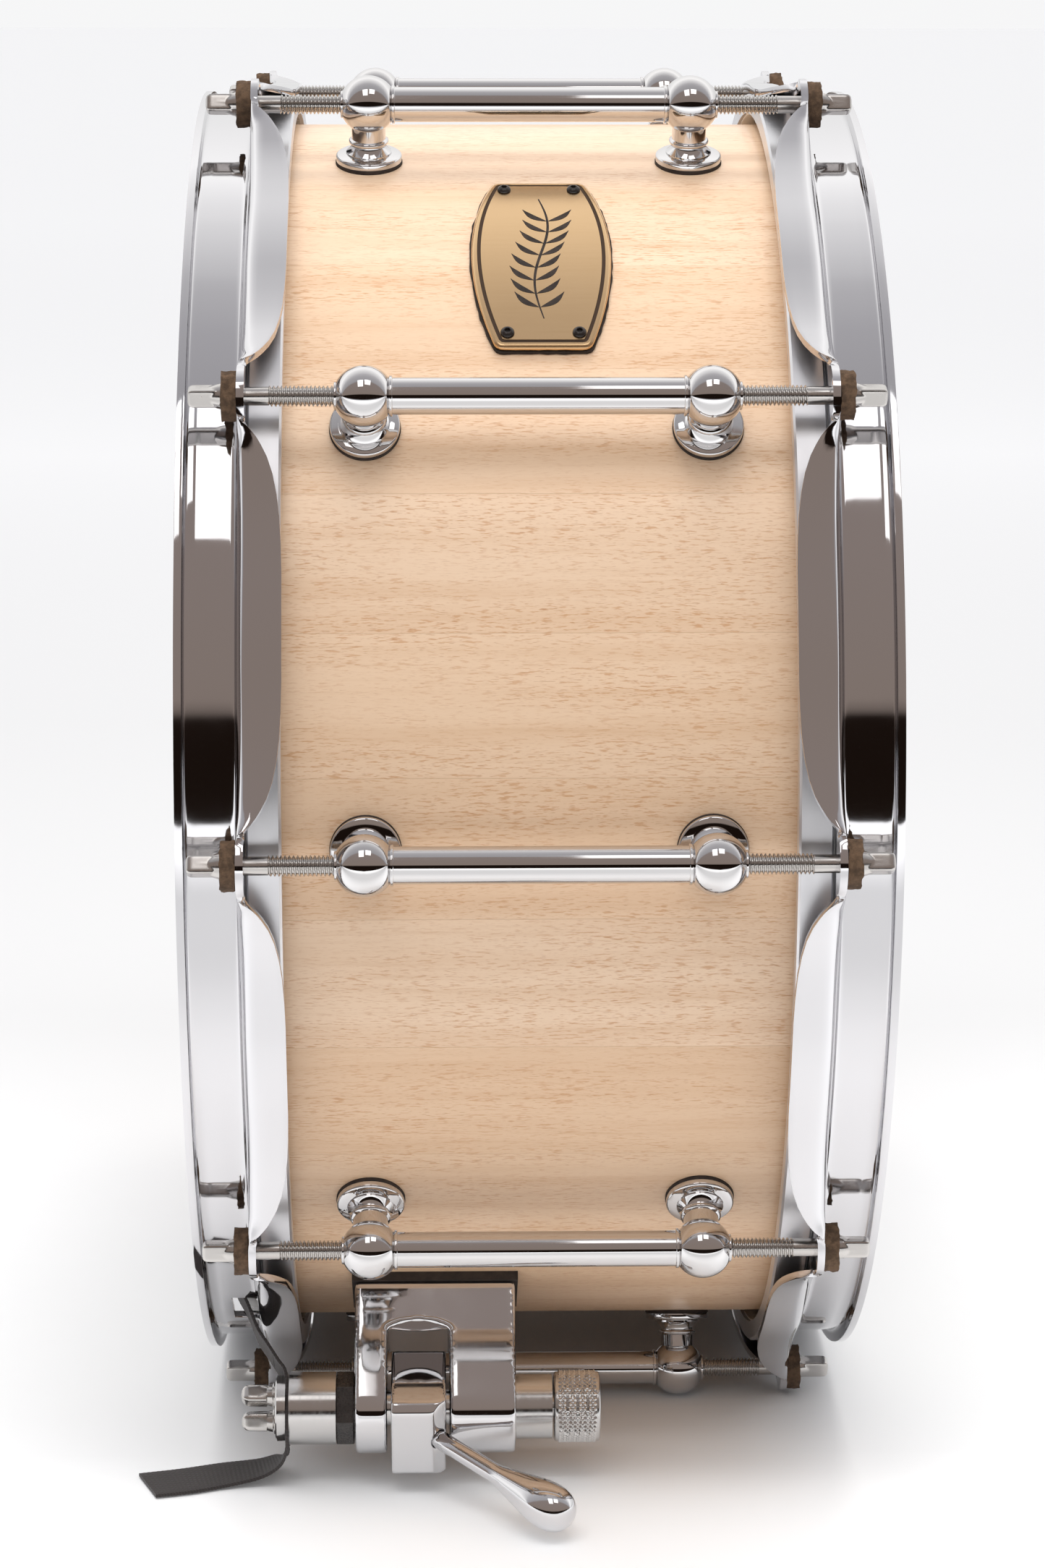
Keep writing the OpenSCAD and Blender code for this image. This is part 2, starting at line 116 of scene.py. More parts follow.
print("drum centre", [round(v, 4) for v in CENTRE])

# %% [markdown]
# ## Camera
#
# A long lens from about a metre away, a little above the drum and looking slightly down. A
# camera looks along its own -Z, so its three axes are written as the columns of a matrix.

# %% Camera
LENS_MM = 85.44
EYE = (-0.01676, -1.11043, 0.406625)
YAW, PITCH, ROLL = -1.331, -11.856, -0.060

facing = (Matrix.Rotation(math.radians(YAW), 3, "Z")
          @ Matrix.Rotation(math.radians(PITCH), 3, "X")
          @ Matrix.Rotation(math.radians(ROLL), 3, "Y"))
right, ahead, up = facing.col
camera = bpy.data.objects.new("camera", bpy.data.cameras.new("camera"))
bpy.context.scene.collection.objects.link(camera)
camera.data.lens = LENS_MM
camera.data.sensor_width = 36.0
camera.matrix_world = (Matrix.Translation(EYE)
                       @ Matrix((right, up, -ahead)).transposed().to_4x4())
bpy.context.scene.camera = camera
bpy.context.scene.view_settings.view_transform = "Standard"
print("camera at", EYE, "lens", LENS_MM, "mm")

# %% [markdown]
# ## Writing node trees as Python
#
# A node tree made by hand is a web of links. Here one small class wraps a socket, so that sums
# and products of sockets add the Math nodes themselves, and one method makes any other node.
# The same two classes serve the materials and the Geometry Nodes.

# %% Sockets as numbers
class Sock:
    """One output of a node. Arithmetic on it adds Math nodes to its tree."""

    def __init__(self, graph, socket):
        self.graph, self.socket = graph, socket

    def out(self, key):
        """Another output of the same node."""
        return Sock(self.graph, self.socket.node.outputs[key])

    def math(self, operation, *others):
        return self.graph.add("ShaderNodeMath", {"operation": operation},
                              dict(enumerate((self, *others))))

    def __add__(self, other): return self.math("ADD", other)
    def __mul__(self, other): return self.math("MULTIPLY", other)
    def __truediv__(self, other): return self.math("DIVIDE", other)
    def __sub__(self, other): return self.math("SUBTRACT", other)
    def __rsub__(self, other): return (self * -1.0) + other
    __radd__, __rmul__ = __add__, __mul__

    def frac(self): return self.math("FRACT")
    def abs(self): return self.math("ABSOLUTE")

    def ramp(self, low, high, to_low=0.0, to_high=1.0):
        """Smooth step from to_low at low to to_high at high."""
        return self.graph.add("ShaderNodeMapRange", {"interpolation_type": "SMOOTHSTEP"},
                              {0: self, 1: low, 2: high, 3: to_low, 4: to_high})


class Graph:
    """A node tree that is written line by line."""

    def __init__(self, tree):
        self.tree = tree

    def add(self, kind, settings=None, values=None, out=0):
        node = self.tree.nodes.new(kind)
        for key, value in (settings or {}).items():
            if key == "stops":
                ramp = node.color_ramp.elements
                for i, (place, colour) in enumerate(value):
                    stop = ramp[i] if i < 2 else ramp.new(place)
                    stop.position, stop.color = place, (*colour, 1.0)
            else:
                setattr(node, key, value)
        for key, value in (values or {}).items():
            socket = node.inputs[key]
            if isinstance(value, Sock):
                self.tree.links.new(value.socket, socket)
            else:
                socket.default_value = value
        return Sock(self, node.outputs[out]) if node.outputs else node


print("socket arithmetic ready")

# %% [markdown]
# ## Materials in general
#
# Every finish is a Principled shader whose steady numbers sit on its own sockets. What varies
# over the surface is worked out from Object coordinates, which for these pieces are the shared
# frame's metres, so a pattern has its real size.

# %% A material and its pattern tools
class Finish(Graph):
    """A new Principled material with a few shortcuts for patterns."""

    def __init__(self, name, **steady):
        self.material = bpy.data.materials.new(name)
        self.material.use_nodes = True
        super().__init__(self.material.node_tree)
        self.shader = self.tree.nodes["Principled BSDF"]
        for key, value in steady.items():
            key = key.replace("_", " ").title().replace("Ior", "IOR")
            self.shader.inputs[key].default_value = value

    def place(self):
        return self.add("ShaderNodeTexCoord", out="Object")

    def stretch(self, vector, scale, shift=(0, 0, 0)):
        return self.add("ShaderNodeMapping", None,
                        {"Vector": vector, "Scale": scale, "Location": shift})

    def noise(self, vector, scale, detail=3.0, rough=0.5, lean=0.0):
        return self.add("ShaderNodeTexNoise", None, {
            "Vector": vector, "Scale": scale, "Detail": detail, "Roughness": rough,
            "Distortion": lean})

    def mix(self, factor, one, two):
        pair = [(*c, 1.0) if isinstance(c, tuple) else c for c in (one, two)]
        return self.add("ShaderNodeMix", {"data_type": "RGBA"},
                        {0: factor, 6: pair[0], 7: pair[1]}, out=2)

    def vector(self, x, y, z):
        return self.add("ShaderNodeCombineXYZ", None, {0: x, 1: y, 2: z})

    def feed(self, **sockets):
        """Links what varies to the shader."""
        for key, value in sockets.items():
            self.tree.links.new(value.socket, self.shader.inputs[key.replace("_", " ").title()])
        return self.material

    def bump(self, height, depth, strength=1.0):
        return self.add("ShaderNodeBump", None,
                        {"Height": height, "Distance": depth, "Strength": strength})


def use(finish, *names):
    """Gives CAD nodes a finish."""
    for name in names:
        for slot in nodes[name].material_slots:
            slot.material = finish


print("material tools ready")

# %% [markdown]
# ## Polished chrome
#
# Chrome is a mirror: nearly all of its look is what stands around it. What a hand sees up close
# is faint haze where a cloth has passed, so only the roughness varies, and very little. The
# hoops, lugs and strainer share the recipe, with slightly different tints.

# %% Chrome and other bright metals
def bright_metal(name, tint, rough, haze, size, streak=(1, 1, 1)):
    """Mirror metal whose roughness drifts from rough to rough + haze."""
    f = Finish(name, metallic=1.0, base_color=(*tint, 1.0))
    cloudy = f.noise(f.stretch(f.place(), streak), size, 4.0, 0.6)
    fine = f.noise(f.stretch(f.place(), streak), size * 9, 2.0)
    drift = cloudy.ramp(0.35, 0.75) * 0.7 + fine * 0.3
    return f.feed(Roughness=drift * haze + rough)


hoop_chrome = bright_metal("hoop_chrome", (0.66, 0.655, 0.67), 0.035, 0.05, 22.0)
lug_chrome = bright_metal("lug_chrome", (0.67, 0.66, 0.66), 0.03, 0.04, 60.0)
strainer_chrome = bright_metal("strainer_chrome", (0.68, 0.675, 0.685), 0.035, 0.06, 55.0)
rod_chrome = bright_metal("rod_chrome", (0.55, 0.53, 0.51), 0.16, 0.14, 90.0)
turned_steel = bright_metal("turned_steel", (0.6, 0.59, 0.58), 0.12, 0.12, 60.0, (14, 1, 1))
plain_steel = bright_metal("plain_steel", (0.55, 0.55, 0.56), 0.3, 0.2, 80.0)
flesh_metal = bright_metal("flesh_metal", (0.74, 0.74, 0.76), 0.28, 0.15, 40.0)
snare_steel = bright_metal("snare_steel", (0.7, 0.7, 0.71), 0.2, 0.15, 120.0)
grommet_brass = bright_metal("grommet_brass", (0.78, 0.57, 0.27), 0.14, 0.12, 90.0)
plate_brass = bright_metal("plate_brass", (0.74, 0.58, 0.33), 0.25, 0.2, 60.0, (1, 9, 9))
print("made", len([m for m in bpy.data.materials if m.users == 0]), "metals")

# %% [markdown]
# ## Lacquered staves
#
# The shell is thirty blocks of pale wood with the grain along the drum. Three things make it
# read as wood: each stave has a tone of its own, the grain is long soft streaks with short dark
# pores, and a few staves are cut across wavy grain. The angle round the drum, from an arc
# tangent, gives both the stave's number and the distance across the grain.

# %% Stave wood
STAVES = 30


def stave_wood():
    f = Finish("stave_wood", coat_roughness=0.16, coat_ior=1.45)
    xyz = f.add("ShaderNodeSeparateXYZ", None, {0: f.place()})
    along, out_y, out_z = xyz.out(0) - CENTRE.x, xyz.out(1) - CENTRE.y, xyz.out(2) - CENTRE.z
    angle = out_z.math("ARCTAN2", out_y * -1.0)
    around = angle * (STAVES / math.tau) + 0.5
    number = around.math("FLOOR")
    across = angle * (SHELL_R * MM)
    tone = f.add("ShaderNodeTexWhiteNoise", {"noise_dimensions": "1D"}, {"W": number + 4.37})
    other = f.add("ShaderNodeTexWhiteNoise", {"noise_dimensions": "1D"}, {"W": number * 3.1 + 1.9})
    # staves cut across the curl of the tree show waves, the others run straight
    lift = f.noise(f.vector(along * 9.0, across * 30.0, tone * 40.0), 1.0, 2.0)
    wavy = other.ramp(0.4, 1.0) * 0.007 + 0.0014
    bent = across + (lift - 0.5) * wavy
    broad = f.noise(f.vector(along * 5.0, bent * 120.0, tone * 31.0), 1.0, 4.0, 0.55)
    thin = f.noise(f.vector(along * 16.0, bent * 640.0, tone * 17.0), 1.0, 4.0, 0.62)
    where = f.noise(f.vector(along * 11.0, bent * 75.0, tone * 11.0), 1.0, 3.0, 0.6)
    dash = f.noise(f.vector(along * 260.0, bent * 1750.0, tone * 53.0), 1.0, 2.0, 0.6)
    pore = f.noise(f.vector(along * 420.0, bent * 3900.0, tone * 71.0), 1.0, 1.0)
    thick = where.ramp(0.3, 0.62)
    fleck = dash.ramp(0.52, 0.68) * (thick * 0.85 + 0.12)
    speck = pore.ramp(0.6, 0.74) * (thick * 0.5 + 0.3)
    base = f.mix(tone, (0.865, 0.635, 0.445), (0.80, 0.555, 0.36))
    base = f.mix(broad.ramp(0.42, 0.74) * 0.4, base, (0.69, 0.43, 0.245))
    base = f.mix(thin.ramp(0.5, 0.8) * 0.3, base, (0.64, 0.37, 0.19))
    base = f.mix(fleck * 0.62, base, (0.57, 0.255, 0.09))
    base = f.mix(speck * 0.6, base, (0.47, 0.20, 0.075))
    edge = (around.frac() - 0.5).abs()
    seam = edge.ramp(0.4955, 0.5) * (other * 0.35 + 0.1)
    base = f.mix(seam, base, (0.42, 0.22, 0.10))
    height = thin * -0.3 + fleck * -0.45 + speck * -0.5
    return f.feed(Base_Color=base, Roughness=thin * 0.14 + 0.36,
                  Coat_Weight=where * 0.1 + 0.28, Normal=f.bump(height, 0.00003, 0.35))


wood = stave_wood()
print("stave wood has", len(wood.node_tree.nodes), "nodes")

# %% [markdown]
# ## Heads, leather, rubber and ribbon
#
# The batter head is sprayed white and slightly grainy, and the snare-side head is a thin hazy
# film that lets some light through. The washers are punched from raw leather, so their colour
# is blotchy and their cut edge is rough. The ribbon is a brownish black. Its mesh carries the
# coarse ribs, and its finish adds fine slanted ones and the yarn.

# %% Soft and dark finishes
def grainy(name, one, two, size, rough, depth, shift=0.12, **steady):
    """Two tones mixed by noise, with a little bump of the same grain."""
    f = Finish(name, **steady)
    blotch = f.noise(f.place(), size, 4.0, 0.6)
    fine = f.noise(f.place(), size * 7, 3.0, 0.6)
    mixed = blotch.ramp(0.32, 0.7) * 0.65 + fine * 0.35
    return f.feed(Base_Color=f.mix(mixed, one, two), Roughness=fine * shift + rough,
                  Normal=f.bump(fine, depth, 0.8))


coated_film = grainy("coated_film", (0.80, 0.79, 0.755), (0.86, 0.85, 0.82), 90.0, 0.55,
                     0.00004)
clear_film = grainy("clear_film", (0.72, 0.73, 0.72), (0.82, 0.83, 0.82), 30.0, 0.2, 0.00001,
                    alpha=0.5)
washer_leather = grainy("washer_leather", (0.045, 0.026, 0.014), (0.165, 0.098, 0.056), 520.0,
                        0.85, 0.00022)
gasket_rubber = grainy("gasket_rubber", (0.014, 0.009, 0.007), (0.045, 0.031, 0.024), 300.0, 0.7,
                       0.00005)
dark_bush = grainy("dark_bush", (0.02, 0.016, 0.015), (0.045, 0.037, 0.033), 250.0, 0.22,
                   0.00001)
dark_screw = grainy("dark_screw", (0.013, 0.010, 0.009), (0.03, 0.023, 0.02), 500.0, 0.14,
                    0.000001, 0.05)


def strap_ribbon():
    f = Finish("strap_ribbon", sheen_weight=0.12, sheen_roughness=0.5)
    spot = f.add("ShaderNodeUVMap", {"uv_map": "cloth"})
    yarn = f.noise(f.stretch(spot, (900.0, 2600.0, 1.0)), 1.0, 2.0)
    wear = f.noise(f.stretch(spot, (60.0, 60.0, 1.0)), 1.0, 3.0)
    xyz = f.add("ShaderNodeSeparateXYZ", None, {0: spot})
    rib = 1.0 - (((xyz.out(0) + xyz.out(1) * 0.6) * 1100.0).frac() * 2.0 - 1.0).abs()
    base = f.mix(yarn * 0.3 + wear * 0.2 + rib * 0.4, (0.008, 0.006, 0.006),
                 (0.06, 0.047, 0.044))
    return f.feed(Base_Color=base, Roughness=yarn * 0.2 + 0.6,
                  Normal=f.bump(rib * 0.8 + yarn * 0.2, 0.00012, 0.8))


ribbon_cloth = strap_ribbon()
print("soft finishes ready")

# %% [markdown]
# ## Mesh tools
#
# Most parts of a drum are turned on a lathe, so one helper spins a profile round an axis. The
# others make an object from plain lists, join several parts, turn faces outwards, and finish a
# piece: they attach it to the body it rides on and hide the CAD nodes it stands for.

# %% Making and finishing pieces
def new_object(name, mesh, finish=None):
    piece = bpy.data.objects.new(name, mesh)
    bpy.context.scene.collection.objects.link(piece)
    if finish is not None:
        mesh.materials.clear()
        mesh.materials.append(finish)
    return piece


def mesh_of(name, points, faces, matrix=None):
    mesh = bpy.data.meshes.new(name)
    mesh.from_pydata([tuple(p) for p in points], [], [tuple(f) for f in faces])
    if matrix is not None:
        mesh.transform(matrix)
    mesh.update()
    return mesh


def loop_faces(rows, n):
    """Quads between neighbouring rows of n points, each row a closed loop."""
    return [(i * n + k, i * n + (k + 1) % n, (i + 1) * n + (k + 1) % n, (i + 1) * n + k)
            for i in range(rows - 1) for k in range(n)]


def turned(profile, steps=64, squareness=None):
    """Points and faces of a profile of [along z, radius] spun round z, closed at both ends.
    squareness(i, angle) may scale the radius of ring i, for square heads."""
    points, faces = [], loop_faces(len(profile), steps)
    for i, (z, r) in enumerate(profile):
        for k in range(steps):
            a = math.tau * k / steps
            s = r * (squareness(i, a) if squareness else 1.0)
            points.append((s * math.cos(a), s * math.sin(a), z))
    for i, (z, _) in ((0, profile[0]), (len(profile) - 1, profile[-1])):
        points.append((0.0, 0.0, z))
        hub = len(points) - 1
        for k in range(steps):
            n = (k + 1) % steps
            pair = (i * steps + n, i * steps + k) if i == 0 else (i * steps + k, i * steps + n)
            faces.append((hub, *pair))
    return points, faces


def rounded(profile, size, steps=4):
    """The profile with each inner corner turned into a small arc."""
    out = [profile[0]]
    for a, b, c in zip(profile, profile[1:], profile[2:]):
        a, b, c = (np.array(p, float) for p in (a, b, c))
        la, lc = np.linalg.norm(a - b), np.linalg.norm(c - b)
        if min(la, lc) < 1e-6:
            continue
        cut = min(size, la * 0.45, lc * 0.45)
        p, q = b + (a - b) / la * cut, b + (c - b) / lc * cut
        for t in np.linspace(0, 1, steps):
            out.append(tuple((1 - t) ** 2 * p + 2 * t * (1 - t) * b + t * t * q))
    out.append(profile[-1])
    return out


def merge(name, parts):
    """One mesh from several (points, faces, matrix) parts."""
    points, faces = [], []
    for part, sides, matrix in parts:
        start = len(points)
        points += [matrix @ Vector(p) for p in part]
        flip = matrix.to_3x3().determinant() < 0
        faces += [tuple(start + i for i in (reversed(s) if flip else s)) for s in sides]
    return mesh_of(name, points, faces)


def parts_of(piece, lift=0.0):
    """Points, in millimetres, and faces of a piece that is then removed."""
    points = [v.co / MM + Vector((0, 0, lift)) for v in piece.data.vertices]
    faces = [tuple(p.vertices) for p in piece.data.polygons]
    bpy.data.objects.remove(piece)
    return points, faces


def face_outwards(mesh):
    bm = bmesh.new()
    bm.from_mesh(mesh)
    bmesh.ops.recalc_face_normals(bm, faces=bm.faces)
    bm.to_mesh(mesh)
    bm.free()


def shade(mesh, degrees):
    """Smooth shading, kept sharp at edges above this angle."""
    mesh.shade_smooth()
    mesh.set_sharp_from_angle(angle=math.radians(degrees))


def bake_modifiers(piece):
    """Turns the piece with its modifiers into a plain mesh."""
    bpy.context.view_layer.update()
    graph = bpy.context.evaluated_depsgraph_get()
    mesh = bpy.data.meshes.new_from_object(piece.evaluated_get(graph))
    piece.modifiers.clear()
    piece.data = mesh
    return piece


def done(piece, body, slot, *stands_for):
    """The last step for every piece."""
    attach(piece, body)
    if stands_for:
        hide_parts(*stands_for)
    piece.data.update()
    sides = sum(len(p.vertices) - 2 for p in piece.data.polygons)
    print(f"{piece.name}: {sides} triangles on {body}")
    return piece


ALONG = Matrix.Rotation(math.radians(90), 4, "Y")     # turns a lathe piece's z to +x
print("mesh tools ready")

# %% [markdown]
# ## Softened copies
#
# The CAD blocks are exact but have knife edges, and polished metal shows its edges first. For a
# machined part, the copied mesh is merged, its flat faces joined up again, and a Bevel rounds
# every corner. Weighted normals then keep the big faces flat in reflections. For a casting, a
# fine voxel remesh and a smoothing round every edge, as polishing does.

# %% Softened copies of CAD nodes
def softened(node, name, width, finish, body, slot):
    """A copy of a CAD part with every corner bevelled by width."""
    bm = bmesh.new()
    bm.from_mesh(nodes[node].data)
    bmesh.ops.remove_doubles(bm, verts=bm.verts, dist=2e-6)
    bmesh.ops.dissolve_limit(bm, angle_limit=math.radians(0.6), verts=bm.verts, edges=bm.edges)
    clean = bpy.data.meshes.new(name)
    bm.to_mesh(clean)
    bm.free()
    piece = new_object(name, clean, finish)
    clean.shade_smooth()
    bevel = piece.modifiers.new("edge", "BEVEL")
    bevel.width, bevel.segments = width * MM, 3
    bevel.limit_method, bevel.angle_limit = "ANGLE", math.radians(28)
    bevel.use_clamp_overlap = True
    bevel.miter_outer = "MITER_ARC"
    even = piece.modifiers.new("even", "WEIGHTED_NORMAL")
    even.keep_sharp, even.weight = False, 60
    bake_modifiers(piece)
    return done(piece, body, slot, node)


def cast(node, name, size, rounds, finish, body, slot):
    """A copy of a CAD block with all its edges flowed round, as a polished casting has them."""
    piece = new_object(name, nodes[node].data.copy(), finish)
    cells = piece.modifiers.new("cells", "REMESH")
    cells.mode, cells.voxel_size, cells.use_smooth_shade = "VOXEL", size * MM, True
    flow = piece.modifiers.new("flow", "SMOOTH")
    flow.factor, flow.iterations = 0.5, rounds
    bake_modifiers(piece)
    piece.data.materials.clear()
    piece.data.materials.append(finish)
    return done(piece, body, slot, node)


print("bevel and casting tools ready")

# %% [markdown]
# ## Geometry Nodes: copies round the drum
#
# A drum is a circle of repeats: thirty staves, ten lugs, ten rods a side. One tree takes any
# piece drawn at the front station and sets copies of it evenly round the axis. Its inputs are
# named, so each user only says how many, how far out and how freely turned. The copies are
# realised and merged where they touch, and the result is turned into a plain mesh.

# %% Trees and how they are run
def new_tree(name, inputs):
    """An empty Geometry Nodes tree with these inputs, and a look-up of their sockets."""
    tree = bpy.data.node_groups.new(name, "GeometryNodeTree")
    tree.interface.new_socket(name="Geometry", in_out="OUTPUT", socket_type="NodeSocketGeometry")
    for label, kind, start in inputs:
        socket = tree.interface.new_socket(name=label, in_out="INPUT",
                                           socket_type="NodeSocket" + kind)
        if start is not None:
            socket.default_value = start
    graph = Graph(tree)
    source = graph.add("NodeGroupInput")
    return graph, source.out


def end_tree(graph, geometry, finish):
    real = graph.add("GeometryNodeRealizeInstances", None, {0: geometry})
    coated = graph.add("GeometryNodeSetMaterial", None, {0: real, "Material": finish})
    graph.add("NodeGroupOutput", None, {0: coated})
    return graph.tree


def grow(tree, name, **values):
    """Runs a tree with these inputs and returns an object with the plain mesh."""
    piece = new_object(name, bpy.data.meshes.new(name))
    modifier = piece.modifiers.new(tree.name, "NODES")
    modifier.node_group = tree
    for item in tree.interface.items_tree:
        key = item.name.lower().replace(" ", "_")
        if item.in_out == "INPUT" and key in values:
            modifier[item.identifier] = values[key]
    return bake_modifiers(piece)


def round_the_drum_tree():
    graph, given = new_tree("Round the drum", [
        ("Piece", "Object", None), ("Copies", "Int", 10), ("Out", "Float", 0.0),
        ("Own spin", "Float", 0.0), ("Merge", "Float", 0.00001), ("Finish", "Material", None)])
    line = graph.add("GeometryNodeMeshLine", None, {"Count": given("Copies"),
                                                    "Offset": (0.0, 0.0, 0.0)})
    number = graph.add("GeometryNodeInputIndex")
    angle = number / given("Copies") * math.tau
    ring = graph.add("ShaderNodeCombineXYZ", None, {
        1: angle.math("COSINE") * given("Out") * -1.0, 2: angle.math("SINE") * given("Out")})
    spots = graph.add("GeometryNodeSetPosition", None, {0: line, "Position": ring})
    chance = graph.add("ShaderNodeTexWhiteNoise", {"noise_dimensions": "1D"}, {"W": number + 0.37})
    own = (chance - 0.5) * given("Own spin")
    spin = graph.add("ShaderNodeCombineXYZ", None, {0: own - angle})
    source = graph.add("GeometryNodeObjectInfo", {"transform_space": "ORIGINAL"},
                       {"Object": given("Piece")}).out("Geometry")
    copies = graph.add("GeometryNodeInstanceOnPoints", None,
                       {"Points": spots, "Instance": source, "Rotation": spin})
    moved = graph.add("GeometryNodeTransform", None,
                      {0: graph.add("GeometryNodeRealizeInstances", None, {0: copies}),
                       "Translation": tuple(CENTRE)})
    joined = graph.add("GeometryNodeMergeByDistance", None,
                       {0: moved, "Distance": given("Merge")})
    return end_tree(graph, joined, given("Finish"))


ROUND = round_the_drum_tree()


def round_the_drum(name, mesh, copies, finish, merge=1e-6, out=0.0, spin=0.0):
    """Copies of a mesh, in metres, drawn about the drum's axis as it stands at the front. With
    out, it is drawn about its own axis instead, and spin turns each copy about that axis."""
    seed = new_object(name + "_one", mesh)
    piece = grow(ROUND, name, piece=seed, copies=copies, merge=merge, out=out, own_spin=spin,
                 finish=finish)
    bpy.data.objects.remove(seed)
    return piece


# front station's millimetres to metres about the drum's axis: x along, T up, R towards -Y
FRONT = Matrix.Rotation(math.radians(90), 4, "X") @ Matrix.Scale(MM, 4)
print("tree", ROUND.name, "has", len(ROUND.nodes), "nodes")

# %% [markdown]
# ## The shell
#
# The real shell is thirty staves glued edge to edge and turned true, with an outer round-over
# and a 45 degree cut inside at each edge. One stave's section is written once and repeated by
# the tree, and neighbours share their edge points, so the wall is one closed skin. The vent
# hole is cut last with a Boolean.

# %% Stave shell
WALL, SHELL_HALF = 9.0, 82.5
VENT_ANGLE, VENT_R = 162.0, 6.0


def stave_section():
    """Closed outline of a stave, [x, r], from the outer middle round to where it began."""
    inner = SHELL_R - WALL
    flat = [(x, SHELL_R) for x in np.linspace(-SHELL_HALF + 1.8, SHELL_HALF - 1.8, 9)]
    right = [(SHELL_HALF - 0.9, SHELL_R - 0.3), (SHELL_HALF - 0.25, SHELL_R - 1.1),
             (SHELL_HALF, SHELL_R - 2.2), (SHELL_HALF - 0.15, SHELL_R - 2.7),
             (SHELL_HALF - 6.4, inner)]
    left = [(-x, r) for x, r in reversed(right)]
    return flat + right + left


def stave_mesh(steps=8):
    section = stave_section()
    span = math.tau / STAVES
    points, faces, n = [], [], len(section)
    for k in range(steps + 1):
        a = (k / steps - 0.5) * span
        points += [(x, r * math.sin(a), r * math.cos(a)) for x, r in section]
    for k in range(steps):
        for i in range(n):
            j = (i + 1) % n
            faces.append((k * n + i, k * n + j, (k + 1) * n + j, (k + 1) * n + i))
    return mesh_of("stave", points, faces, FRONT)


shell = round_the_drum("stave_shell", stave_mesh(), STAVES, wood)
drill = new_object("drill", merge("drill", [(*turned([(160, VENT_R), (190, VENT_R)], 48),
                                             station(VENT_ANGLE))]))
cut = shell.modifiers.new("vent", "BOOLEAN")
cut.operation, cut.object, cut.solver = "DIFFERENCE", drill, "EXACT"
bake_modifiers(shell)
bpy.data.objects.remove(drill)
shade(shell.data, 30)
done(shell, "drum", "stave_wood", "shell")

# %% [markdown]
# ## Flanged hoops
#
# Each hoop is pressed from one sheet: a turned-out rim, an upright wall, and a skirt that
# stands down over the flesh hoop. At every rod the skirt sweeps up into a flat round ear, and
# that S-shaped edge is what makes a flanged hoop look right. The sheet's middle is drawn as a
# fan of lines from the wall's foot to a free edge whose path round the ear is given by a few
# stations. One tenth of the hoop is drawn, the tree makes ten, and Solidify gives the 2 mm.

# %% Hoop sheet
HOOP_T, EAR_X = 2.0, 76.0
RIM = [(92.0, 187.6), (92.0, 186.4), (92.0, 185.3), (91.75, 184.3), (91.1, 183.4), (90.1, 183.0),
       (87.4, 183.0), (84.5, 183.0), (81.5, 183.0), (79.0, 183.0), (77.9, 183.1),
       (76.95, 183.6), (76.3, 184.4), (76.0, 185.5)]
EAR_PATH = [                                   # the free edge: [round, out, along]
    (0.0, 202.0, 76.0), (2.2, 201.7, 76.0), (4.2, 200.9, 76.0), (5.8, 199.9, 76.0),
    (7.1, 198.9, 75.95), (8.1, 198.1, 75.6), (9.0, 197.5, 74.9), (9.9, 197.0, 74.0),
    (10.9, 196.4, 73.0), (12.2, 195.8, 71.9), (14.0, 195.0, 70.7), (16.7, 194.0, 69.2),
    (20.6, 192.6, 67.8), (25.4, 191.2, 66.8), (31.0, 190.1, 66.1), (37.6, 189.35, 65.7),
    (45.12, 189.0, 65.5), (48.6, 189.0, 65.5), (53.68, 189.0, 65.5), (58.404, 189.0, 65.5)]
ROOT_ANGLES = [0.0, 0.45, 0.9, 1.35, 1.8, 2.2, 2.6, 2.95, 3.3, 3.75, 4.3, 5.05, 6.1, 7.5, 9.3,
               11.4, 13.81, 14.9, 16.5, 18.0]


def hoop_column(root, edge):
    """Points [angle, x, r] of one line of the sheet, from the rim to the free edge."""
    around, out, along = edge
    tip = math.degrees(math.atan2(around, math.sqrt(max(out ** 2 - around ** 2, 1.0))))
    line = [(root, x, r) for x, r in RIM]
    drop = EAR_X - along
    bend = min(3.4, drop * 0.75)
    bend_r = min(bend, out - 186.0)
    flat = [(EAR_X, r) for r in np.linspace(RIM[-1][1], out - bend_r, 5)[1:]]
    arc = [(EAR_X - bend * (1 - math.cos(t)), out - bend_r + bend_r * math.sin(t))
           for t in np.linspace(0, math.pi / 2, 6)[1:]]
    leg = [(x, out) for x in np.linspace(EAR_X - bend, along, 5)[1:]]
    rest = flat + arc + leg
    for i, (x, r) in enumerate(rest):
        share = (i + 1) / len(rest)
        line.append((root + (tip - root) * share, x, r))
    return line


def hoop_tenth(side):
    """One tenth of the sheet's middle, about the front station."""
    half = [hoop_column(a, e) for a, e in zip(ROOT_ANGLES, EAR_PATH)]
    whole = [[(-a, x, r) for a, x, r in c] for c in reversed(half[1:])] + half
    points = [(side * x, r * math.sin(math.radians(a)), r * math.cos(math.radians(a)))
              for column in whole for a, x, r in column]
    n = len(whole[0])
    faces = []
    for c in range(len(whole) - 1):
        for i in range(n - 1):
            quad = (c * n + i, c * n + i + 1, (c + 1) * n + i + 1, (c + 1) * n + i)
            faces.append(quad if side < 0 else tuple(reversed(quad)))
    return mesh_of("hoop_tenth", points, faces, FRONT)


print("hoop section has", len(hoop_column(0.0, EAR_PATH[0])), "points a line")

# %% [markdown]
# The lower hoop has two gates in its wall, where the snares' strap passes out. The faces there
# are taken out of the sheet before it gets its thickness, so the gate's edge is rounded like
# every other one.

# %% Hoops and snare gates
GATE_HALF, GATE_FROM, GATE_TO = 10.5, -85.4, -76.4


